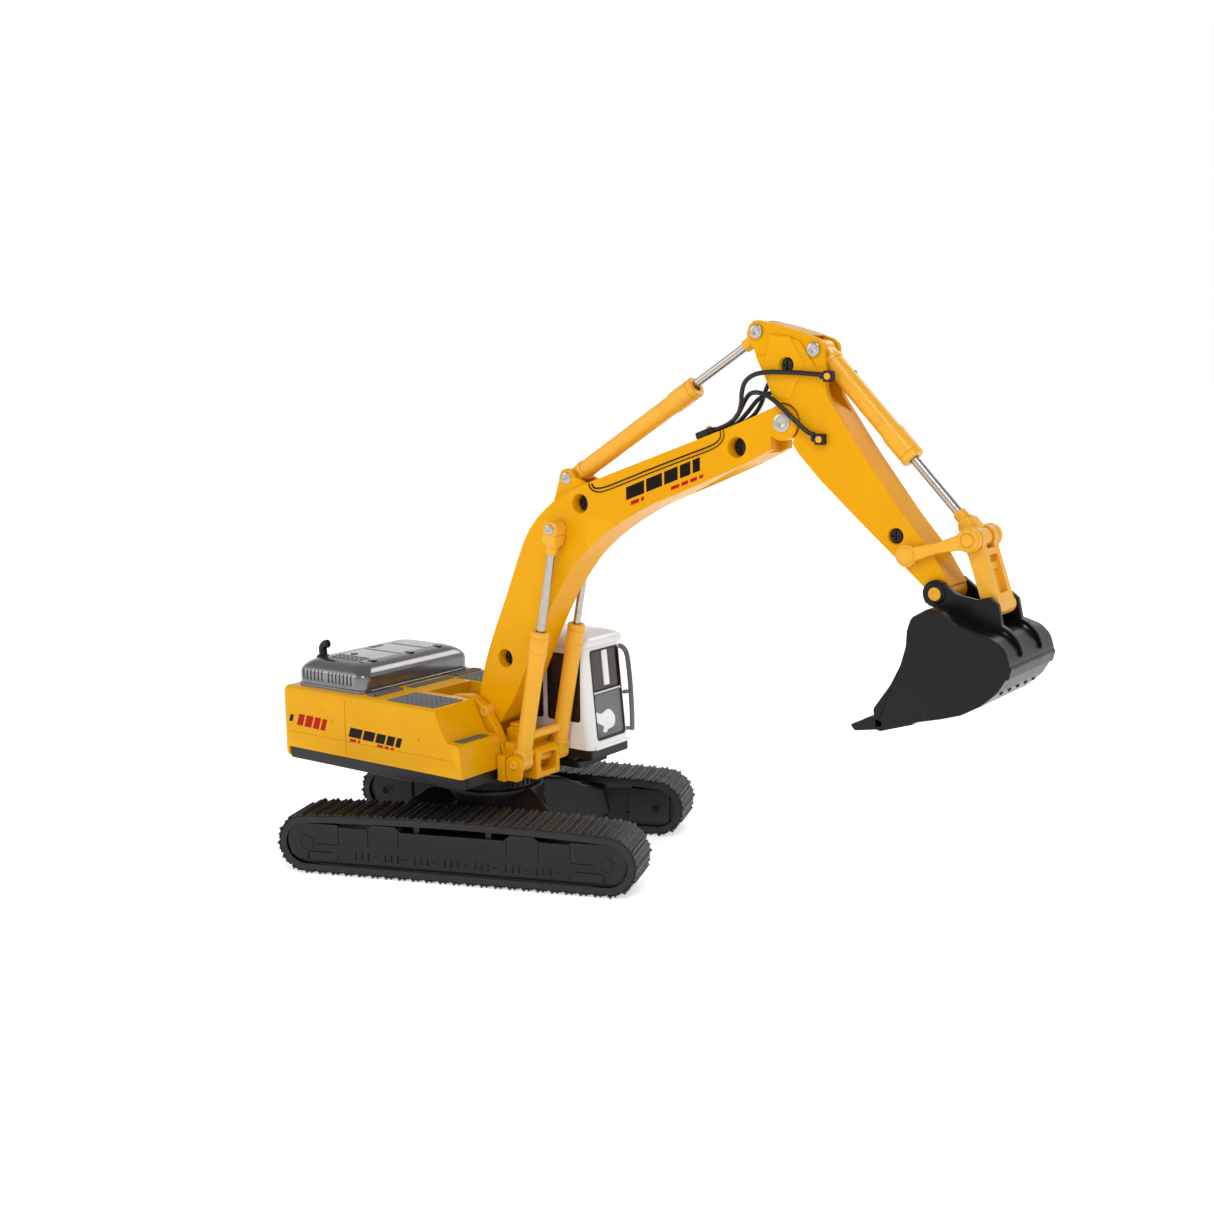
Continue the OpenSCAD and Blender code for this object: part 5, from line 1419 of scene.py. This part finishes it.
boom_bracket()
boom()
prints()
hose_clamp()
riveted_pin("boom_foot_pin", BOOM_FOOT, 1.5, 8.3, "yellow_linkage", head=1.6)
riveted_pin("boom_rod_pin", BOOM_CYL_EYE, 1.1, 10.0, head=1.35)
riveted_pin("stick_barrel_pin", STICK_CYL_FOOT, 1.1, 4.1)
riveted_pin("stick_pin", BOOM_TIP, 1.5, BOOM_HALF, head=2.15)
cylinder_foot = merged(y_bar(BOOM_CYL_FOOT, 1.1, -EAR_OUT, FOOT_ROOM),
                       pin_cap(BOOM_CYL_FOOT, -EAR_OUT, -1, 1.3), pin_cap(BOOM_CYL_FOOT, FOOT_ROOM, 1, 1.3))
piece("cylinder_foot_rivet", cylinder_foot, "superstructure", "yellow_linkage",
      replaces=["cylinder_foot_pin"])


# ---- Cylinders ----

def aimed(start, end, y=0.0, tilt=0.0):
    """Puts a shape drawn along +X on the line from start to end in the side view."""
    run = Vector(end) - Vector(start)
    turn = Matrix.Rotation(-math.atan2(run.y, run.x), 4, "Y") @ Matrix.Rotation(math.radians(tilt), 4, "Y")
    return Matrix.Translation((start[0], y, start[1])) @ turn


def tube_profile(stations, bore):
    """Lathe profile of a barrel: stations of (x, radius), closed at the start and bored at the mouth."""
    last = stations[-1][0]
    return [(stations[0][0], 0)] + stations + [(last, bore), (last - 9, bore), (last - 9, 0)]


def hook_mark(x, radius):
    """A small raised hook on both flanks of a barrel, x along it."""
    bends = [(x, 0.7), (x + 1.5, 0.75), (x + 2.2, 0.1), (x + 1.6, -0.6), (x + 0.7, -0.6)]
    hooks = []
    for side in (-1, 1):
        hooks.append(swept(spline([(at, side * math.sqrt(radius ** 2 - z ** 2), z) for at, z in bends], 4),
                           0.17, 8))
    return merged(*hooks)


def eye(half, radius, x=0.0):
    ring = [(0, radius - 0.25), (0.25, radius), (2 * half - 0.25, radius), (2 * half, radius - 0.25)]
    ring = [(0, 1.15)] + ring + [(2 * half, 1.15)]
    return lathe((x, -half, 0), (0, 1, 0), ring, 48)


def barrel_shape(reach, half, radius=2.35, collar=2.65):
    """One moulded barrel along +X, with its eye at the origin and an open mouth at reach."""
    stations = [(2.0, radius - 0.35), (3.1, radius), (3.1, radius + 0.25), (4.0, radius + 0.25),
                (4.0, radius), (reach - 8.4, radius), (reach - 7.4, collar), (reach - 1.9, collar),
                (reach - 1.7, collar - 0.2), (reach - 1.5, collar - 0.2), (reach - 1.3, collar),
                (reach - 0.25, collar), (reach, collar - 0.25)]
    neck = soft_block((0.6, -half + 0.05, -1.9), (3.6, half - 0.05, 1.9), 0.4, 3)
    tube = lathe((0, 0, 0), (1, 0, 0), tube_profile(stations, 1.3), 48)
    return merged(eye(half, 2.2), neck, tube)


def rod_eye_shape(half, length, radius=2.05):
    """The moulded block at the end of a rod: eye at the origin, rod leaving along +X."""
    stations = [(1.0, radius - 0.3), (1.4, radius), (length - 0.4, radius), (length, radius - 0.3),
                (length, 1.55), (length + 1.9, 1.5), (length + 2.0, 1.4)]
    head = lathe((0, 0, 0), (1, 0, 0), [(1.0, 0)] + stations + [(length + 2.0, 0)], 48)
    block_part = soft_block((1.3, -half + 0.05, -2.15), (length - 0.6, half - 0.05, 2.15), 0.45, 3)
    return merged(eye(half, 2.2), head, block_part)


def rod_shape(start, end, radius=1.05):
    return lathe((start, 0, 0), (1, 0, 0), [(0, radius), (end - start - 0.3, radius),
                                            (end - start, radius - 0.3), (end - start, 0)], 36)


BOOM_CYL_Y = 7.7
BOOM_MOUTH = 37.0
STICK_MOUTH = 43.8
STICK_CYL_TILT = 0.5
BUCKET_MOUTH = 33.3
BOOM_ROD_REACH, STICK_ROD_REACH, BUCKET_ROD_REACH = 46.0, 55.0, 47.0


def cylinders():
    """Barrels and rods of all four cylinders, each drawn along its own axis."""
    barrels = []
    for side in (-1, 1):
        tube = barrel_shape(BOOM_MOUTH, 2.2, 2.2, 2.4)
        # Grub ring and cap lines near the mouth
        tube = merged(tube, lathe((0, 0, 0), (1, 0, 0), [(BOOM_MOUTH - 6.2, 0), (BOOM_MOUTH - 6.2, 2.55),
                (BOOM_MOUTH - 5.7, 2.55), (BOOM_MOUTH - 5.7, 0)], 48))
        barrels.append(moved(tube, aimed(BOOM_CYL_FOOT, BOOM_CYL_EYE, side * BOOM_CYL_Y)))
    cross = lathe((7.4, -BOOM_CYL_Y + 1.0, 0), (0, 1, 0), [(0, 0), (0, 1.2), (2 * BOOM_CYL_Y - 2, 1.2),
            (2 * BOOM_CYL_Y - 2, 0)], 32)
    barrels.append(moved(cross, aimed(BOOM_CYL_FOOT, BOOM_CYL_EYE)))
    piece("boom_barrel_pair", merged(*barrels), "boom_barrels", "yellow_linkage", replaces=["boom_barrels"])
    for name, side in SIDES.items():
        turn = aimed(BOOM_CYL_EYE, BOOM_CYL_FOOT, side * BOOM_CYL_Y)
        piece(f"boom_rod_eye_{name}", moved(rod_eye_shape(2.2, 4.6), turn), "boom_rods", "yellow_linkage",
              replaces=[f"boom_rod_{name}"])
        piece(f"boom_rod_steel_{name}", moved(rod_shape(4.0, BOOM_ROD_REACH), turn), "boom_rods",
              "rod_steel")
    turn = aimed(STICK_CYL_FOOT, STICK_CYL_EYE, 0, STICK_CYL_TILT)
    tube = merged(barrel_shape(STICK_MOUTH, 2.2), hook_mark(STICK_MOUTH - 12.4, 2.35))
    piece("stick_barrel_shell", moved(tube, turn), "stick_barrel", "yellow_linkage",
          replaces=["stick_barrel"])
    turn = aimed(STICK_CYL_EYE, STICK_CYL_FOOT, 0, STICK_CYL_TILT)
    piece("stick_rod_eye", moved(rod_eye_shape(2.2, 4.4), turn), "stick_rod", "yellow_linkage",
          replaces=["stick_rod"])
    piece("stick_rod_steel", moved(rod_shape(4.0, STICK_ROD_REACH), turn), "stick_rod", "rod_steel")
    turn = aimed(BUCKET_CYL_FOOT, LINKAGE_JOINT)
    tube = merged(barrel_shape(BUCKET_MOUTH, 2.2), hook_mark(BUCKET_MOUTH - 12.4, 2.35))
    piece("bucket_barrel_shell", moved(tube, turn), "bucket_barrel", "yellow_linkage",
          replaces=["bucket_barrel"])
    turn = aimed(LINKAGE_JOINT, BUCKET_CYL_FOOT)
    piece("bucket_rod_eye", moved(rod_eye_shape(1.7, 5.2), turn), "bucket_rod", "yellow_linkage",
          replaces=["bucket_rod"])
    piece("bucket_rod_steel", moved(rod_shape(5.0, BUCKET_ROD_REACH), turn), "bucket_rod", "rod_steel")


# ---- Stick ----

STICK_HALF = 4.5
STICK_OUTLINE = [(84.9, 138.6), (86.2, 136.0), (89.2, 130.2), (92.6, 123.0), (95.6, 116.2), (98.4, 112.2),
                 (104, 106.4), (114.1, 97.4), (124, 88.8), (130.8, 82.9), (134.2, 80.6), (135.8, 84.6),
                 (131.6, 91.2), (124.4, 99.6), (114.4, 112.6), (105.4, 125.4), (104.9, 131.4),
                 (104.4, 135.8), (103.0, 138.0), (98.6, 139.6), (94.2, 140.9), (88.2, 142.4)]
STICK_RADII = [0, 0, 0, 6, 5, 6, 0, 0, 0, 0, 0, 0, 0, 30, 30, 5, 0, 2, 1, 6, 4, 1]
STICK_SCREWS = [(95.2, 132.2), (122.8, 94.6)]


def stick():
    """The stick with its forks, raised plates, washers and screws."""
    arm = side_plate(rounded(STICK_OUTLINE, STICK_RADII, 5), -STICK_HALF, STICK_HALF)
    bosses = [y_bar(at, radius, -STICK_HALF, STICK_HALF, 48)
              for at, radius in ((STICK_CYL_EYE, 2.5), (BUCKET_CYL_FOOT, 2.6), (BUCKET_PIVOT, 2.8))]
    arm = fused(arm, *bosses)
    fork = 2.5
    tools = []
    for s in (-1, 1):
        tools.append(y_bar(BOOM_TIP, TIP_RADIUS + 0.45, *span(s, TONGUE_HALF, 9), 56))
        recess = [BOOM_TIP + Vector(d) for d in ((0, 0), (-6, 3.6), (-10, -4), (-2, -10), (3.2, -3.6))]
        tools.append(side_plate(recess, *span(s, TONGUE_HALF, 9)))
        # The lugs round the two upper pins stand a little back from the raised plate
        lug = [(82, 134.6), (90.0, 134.4), (90.6, 139.4), (98.4, 137.6), (103.0, 130.8), (108, 131),
               (108, 146), (82, 146)]
        tools.append(side_plate(lug, *span(s, STICK_HALF - 0.45, 9)))
    eye_room = [STICK_CYL_EYE + Vector(d) for d in ((-6, -8), (-6, 1), (0, 3.2), (1.6, -3), (-0.4, -5))]
    tools += [y_bar(STICK_CYL_EYE, 3.2, -fork, fork), side_plate(eye_room, -fork, fork)]
    foot_room = [BUCKET_CYL_FOOT + Vector(d) for d in ((0, 3.4), (9, 0), (9, -16), (1.6, -11), (-3, -1))]
    fork = 2.95
    tools += [y_bar(BUCKET_CYL_FOOT, 3.4, -fork, fork), side_plate(foot_room, -fork, fork)]
    arm = cut(arm, *tools)
    arm = fused(arm, y_bar(BOOM_TIP, 3.8, -TONGUE_HALF, TONGUE_HALF, 56))
    arm = softened(arm, 0.8, 4, 32)
    holes = [lathe((at[0], -STICK_HALF - 1, at[1]), (0, 1, 0),
                   [(0, 1.95), (1.0, 1.95), (1.3, 1.75), (2.3, 1.7)], 40) for at in STICK_SCREWS]
    arm = cut(arm, *holes)
    washers = []
    raised = [(90.8, 138.9), (96.0, 138.6), (100.0, 132.3), (96.1, 124.6), (91.9, 125.0), (89.4, 131.6)]
    for s in (-1, 1):
        y0, y1 = span(s, STICK_HALF - 0.2, STICK_HALF + 0.22)
        plate = cut(soft_plate(raised, y0, y1, 0.2, 2), y_bar(STICK_SCREWS[0], 1.95, -9, 9, 40))
        washers.append(plate)
        washers.append(lathe((ROCKER_FOOT.x, s * (STICK_HALF - 0.2), ROCKER_FOOT.y), (0, s, 0),
                             [(0, 2.9), (0.3, 2.9), (0.45, 2.7), (0.45, 0)], 40))
    piece("stick_casting", merged(arm, *washers), "stick", "yellow_arm",
          replaces=["stick_right", "stick_left"])
    screws = [screw(at, -4.15, 1.6, 6.4) for at in STICK_SCREWS]
    piece("stick_cross_screws", merged(*screws), "stick", "black_screw", replaces=["stick_screws"])


UPPER_END = (106.4, 129.6)
LOWER_END = (104.4, 115.6)


def hose_ends():
    """Square hose ends on pegs, on both sides of the stick."""
    blocks, pegs = [], []
    for s in (-1, 1):
        for x, z in (UPPER_END, LOWER_END):
            y0, y1 = span(s, STICK_HALF - 0.05, STICK_HALF + 1.5)
            body = soft_block((x - 1.25, y0, z - 1.25), (x + 1.25, y1, z + 1.25), 0.3, 3)
            nozzle = lathe((x - 0.9, s * (STICK_HALF + 0.8), z), (-1, 0, 0.1),
                           [(0, 0.72), (0.9, 0.72), (1.2, 0.6), (1.2, 0)], 20)
            blocks += [body, nozzle]
            pegs.append(lathe((x, s * (STICK_HALF + 1.4), z), (0, s, 0),
                              [(0, 0.75), (0.35, 0.75), (0.5, 0.6), (0.5, 0.3), (0.35, 0.2), (0.35, 0)],
                              24))
    piece("hose_end_blocks", merged(*blocks), "stick", "black_plastic", replaces=["hose_ends"])
    piece("hose_end_pegs", merged(*pegs), "stick", "yellow_linkage")


# ---- Bucket linkage ----

ROCKER_IN = STICK_HALF + 0.3
ROCKER_OUT = ROCKER_IN + 1.6
LINK_HALF = 4.4


def linkage():
    """Rocker arms and the link frame between the bucket cylinder, the stick and the bucket."""
    for name, s in SIDES.items():
        y0, y1 = span(s, ROCKER_IN, ROCKER_OUT)
        run = (LINKAGE_JOINT - ROCKER_FOOT)
        across = Vector((-run.y, run.x)).normalized()
        web = [ROCKER_FOOT + across * 1.7, LINKAGE_JOINT + across * 1.9, LINKAGE_JOINT - across * 1.9,
               ROCKER_FOOT - across * 1.7]
        middle = (ROCKER_FOOT + LINKAGE_JOINT) / 2
        web = [web[0], middle + across * 1.15, web[1], web[2], middle - across * 1.15, web[3]]
        arm = fused(side_plate(web, y0, y1), y_bar(ROCKER_FOOT, 2.5, y0, y1, 48),
                    y_bar(LINKAGE_JOINT, 2.7, y0, y1, 48))
        arm = softened(arm, 0.35, 3)
        dome = lathe((ROCKER_FOOT.x, s * (ROCKER_OUT - 0.1), ROCKER_FOOT.y), (0, s, 0),
                     [(0, 2.0), (0.3, 1.95), (0.6, 1.6), (0.78, 0.9), (0.8, 0)], 40)
        rings = lathe((LINKAGE_JOINT.x, s * (ROCKER_OUT - 0.1), LINKAGE_JOINT.y), (0, s, 0),
                      [(0, 2.3), (0.3, 2.3), (0.42, 2.15), (0.42, 1.75), (0.2, 1.65), (0.2, 1.35),
                       (0.55, 1.25), (0.62, 1.0), (0.62, 0)], 44)
        piece(f"rocker_arm_{name}", merged(arm, dome, rings), "rocker", "yellow_linkage",
              replaces=[f"rocker_{name}"])
    link = aimed(LINKAGE_JOINT, BUCKET_FOOT)
    reach = (BUCKET_FOOT - LINKAGE_JOINT).length
    body = block((2.4, -4.2, -1.9), (reach - 1, 4.2, 1.9))
    lobes = []
    for s in (-1, 1):
        lobes.append(y_bar((0, 0), 2.6, *span(s, 2.1, LINK_HALF - 0.05), 48))
        lobes.append(block((0, *span(s, 2.1, LINK_HALF - 0.05)[:1], -1.9),
                           (3, span(s, 2.1, LINK_HALF - 0.05)[1], 1.9)))
    body = fused(body, *lobes, y_bar((reach, 0), 2.1, -LINK_HALF, LINK_HALF, 48))
    body = cut(body, block((4.2, -2.3, 0.7), (reach - 2.6, 2.3, 3)), y_bar((0, 0), 3.3, -2.1, 2.1, 48),
               y_bar((0, 0), 1.2, -9, 9, 30))
    body = softened(body, 0.35, 3)
    lug = soft_block((5.6, -2.6, 0.4), (7.4, 2.6, 1.2), 0.3, 2)
    piece("link_frame", moved(merged(body, lug), link), "bucket_link", "yellow_linkage",
          replaces=["bucket_link"])


# ---- Bucket ----

BUCKET_HALF = 13.3
BUCKET_OUTLINE = [(122.6, 52.8), (130, 54.9), (138, 56.9), (142.5, 58.3), (146.9, 60.8), (150.4, 64),
                  (152.4, 67.4), (152.9, 70), (152, 73), (149.8, 75.1), (146.2, 76.2), (141.2, 77.8),
                  (137.4, 80.2), (134.6, 80.6), (130.7, 78.3), (129.8, 75.4), (129.6, 71.8), (128.4, 67.6),
                  (126.2, 63.2), (122.2, 57.4)]
BUCKET_RADII = [0.3, 8, 8, 6, 6, 6, 4, 3, 4, 4, 8, 6, 2, 2, 2, 3, 6, 8, 10, 1]
BUCKET_INSIDE = [(118, 52.9), (124.2, 54.8), (130, 56.4), (137.8, 58.3), (142, 59.6), (146, 61.9),
                 (149.3, 65), (151, 68), (151.4, 70.2), (150.6, 72.4), (148.8, 73.8), (146, 74.8),
                 (140.6, 76.4), (136.6, 78.8), (134.4, 79.1), (124, 79.1), (116, 60)]
EAR_IN = STICK_HALF + 0.35
EAR_OUT_BUCKET = EAR_IN + 1.6


def tooth(y):
    """One bucket tooth, tapered on both flanks."""
    outline = rounded([(116.5, 53.0), (117.7, 51.75), (124.4, 53), (124.8, 54.8), (121.8, 55.7)],
                      [0.3, 0.6, 1, 0.4, 1], 3)
    shape = side_plate(outline, y - 1.6, y + 1.6)
    flank = [plan_plate([(114, y + s * 1.0), (117.5, y + s * 1.25), (121.4, y + s * 1.62),
                         (114, y + s * 3)], 50, 58) for s in (-1, 1)]
    return softened(cut(shape, *flank), 0.25, 2)


def bucket():
    """Shell, lip, teeth, ears and ribs of the bucket."""
    outer = side_plate(rounded(BUCKET_OUTLINE, BUCKET_RADII, 4), -BUCKET_HALF, BUCKET_HALF)
    inner = side_plate(rounded(BUCKET_INSIDE, [0] + [5] * 15 + [0], 3), -BUCKET_HALF + 1.3,
                       BUCKET_HALF - 1.3)
    shell = softened(cut(outer, inner), 0.45, 3, 34)
    extras = [soft_plate([(121.6, 53.0), (124, 52.5), (131.6, 54.9), (131, 56.8), (124, 55.0)],
                         -BUCKET_HALF + 0.05, BUCKET_HALF - 0.05, 0.2, 2)]
    pitch = (BUCKET_HALF - 1.6) / 2
    extras += [tooth(i * pitch) for i in range(-2, 3)]
    extras.append(soft_plate([(151.8, 66.9), (152.7, 67.0), (153.3, 69.4), (152.4, 70.4)],
                             -BUCKET_HALF + 0.3, BUCKET_HALF - 0.3, 0.25, 2))
    for s in (-1, 1):
        y0, y1 = span(s, EAR_IN, EAR_OUT_BUCKET)
        plate = [BUCKET_PIVOT + Vector((-2.4, -2)), BUCKET_PIVOT + Vector((-1.6, 2.4)),
                 BUCKET_PIVOT + Vector((1.8, 2.5)), BUCKET_PIVOT + Vector((4.8, 0.2)),
                 BUCKET_FOOT + Vector((-2.6, 1.8)), BUCKET_FOOT + Vector((0.4, 2.6)),
                 BUCKET_FOOT + Vector((2.2, 1.2)), (148.8, 75.0), (141.2, 76.9), (135.6, 79.2)]
        ear = fused(side_plate(rounded(plate, [0, 0, 0, 4, 2, 0, 0, 0, 0, 0], 4), y0, y1),
                    y_bar(BUCKET_PIVOT, 3.0, y0, y1, 48), y_bar(BUCKET_FOOT, 2.3, y0, y1, 48))
        extras.append(softened(ear, 0.35, 3))
        extras.append(lathe((BUCKET_PIVOT.x, s * (EAR_OUT_BUCKET - 0.1), BUCKET_PIVOT.y), (0, s, 0),
                            [(0, 2.4), (0.35, 2.4), (0.5, 2.2), (0.5, 1.5), (0.2, 1.4), (0.2, 1.0)], 40))
        # Curved rib from the ear down over the back
        rib = spline([(147.6, 76.6), (149.6, 75.4), (151.6, 73.4), (152.7, 70.8)], 5)
        outer_edge = [(x + 0.5, z + 0.75) for x, z in rib]
        rib_plate = side_plate(rib + outer_edge[::-1], y0, y1)
        extras.append(softened(rib_plate, 0.2, 2))
        # The crease that runs up the side wall
        crease = [(138.6, 79.2), (138.2, 76.2), (137.0, 68), (135.4, 60.4), (134.4, 56.6)]
        line = swept([(x, s * (BUCKET_HALF - 0.05), z) for x, z in spline(crease, 5)], 0.4, 8, 0.6)
        extras.append(line)
    # Rivets on the lower back
    for y in (-9.2, -4.6, 0, 4.6, 9.2):
        extras.append(lathe((149.7, y, 63.4), (0.78, 0, -0.62),
                            [(0, 0.5), (0.25, 0.5), (0.36, 0.35), (0.36, 0)], 16))
    piece("bucket_casting", merged(shell, *extras), "bucket", "bucket_black", replaces=["bucket"])


def hoses():
    """Four curved hoses from the boom's clamp to the stick's hose ends."""
    upper = [(75.4, -3.2, 117.4), (78.6, -3.3, 118.6), (81.6, -3.8, 120.6), (83.2, -4.6, 123.4),
             (83.8, -5.3, 126), (85, -5.7, 128.6), (87.6, -5.8, 130.2), (91.4, -5.8, 130.7),
             (96, -5.7, 130.6), (100.6, -5.5, 130.3), (105.2, -5.3, 129.9)]
    lower = [(75.4, -1.4, 117.4), (78.4, -1.6, 118.8), (81, -2, 121.4), (83.4, -3, 124.4),
             (86, -4.8, 125.9), (89, -5.8, 126), (92, -5.9, 124.8), (95.4, -5.9, 122.2),
             (98.8, -5.8, 119.2), (101.4, -5.6, 117.2), (102.9, -5.3, 116.6)]
    for side_name, side in SIDES.items():
        for level, route in (("upper", upper), ("lower", lower)):
            path = spline([(x, -side * y, z) for x, y, z in route], 6)
            shape = swept(path, 0.55, 14)
            name = f"hose_{level}_{side_name}"
            tube = shaded_object(name + "_tube", shape, SWING, "hose_rubber")
            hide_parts(name)
            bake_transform(tube)


cylinders()
stick()
hose_ends()
linkage()
bucket()
hoses()
riveted_pin("stick_rod_pin", STICK_CYL_EYE, 1.1, STICK_HALF, head=1.6)
riveted_pin("bucket_barrel_pin", BUCKET_CYL_FOOT, 1.1, STICK_HALF, head=1.6)
riveted_pin("rocker_pin", ROCKER_FOOT, 1.1, ROCKER_OUT, head=1.3)
riveted_pin("link_pin", LINKAGE_JOINT, 1.1, ROCKER_OUT, head=1.2)
riveted_pin("bucket_pin", BUCKET_PIVOT, 1.1, EAR_OUT_BUCKET, "yellow_linkage", head=1.9)
refined("base_screws", "black_screw", 0.1, 2)
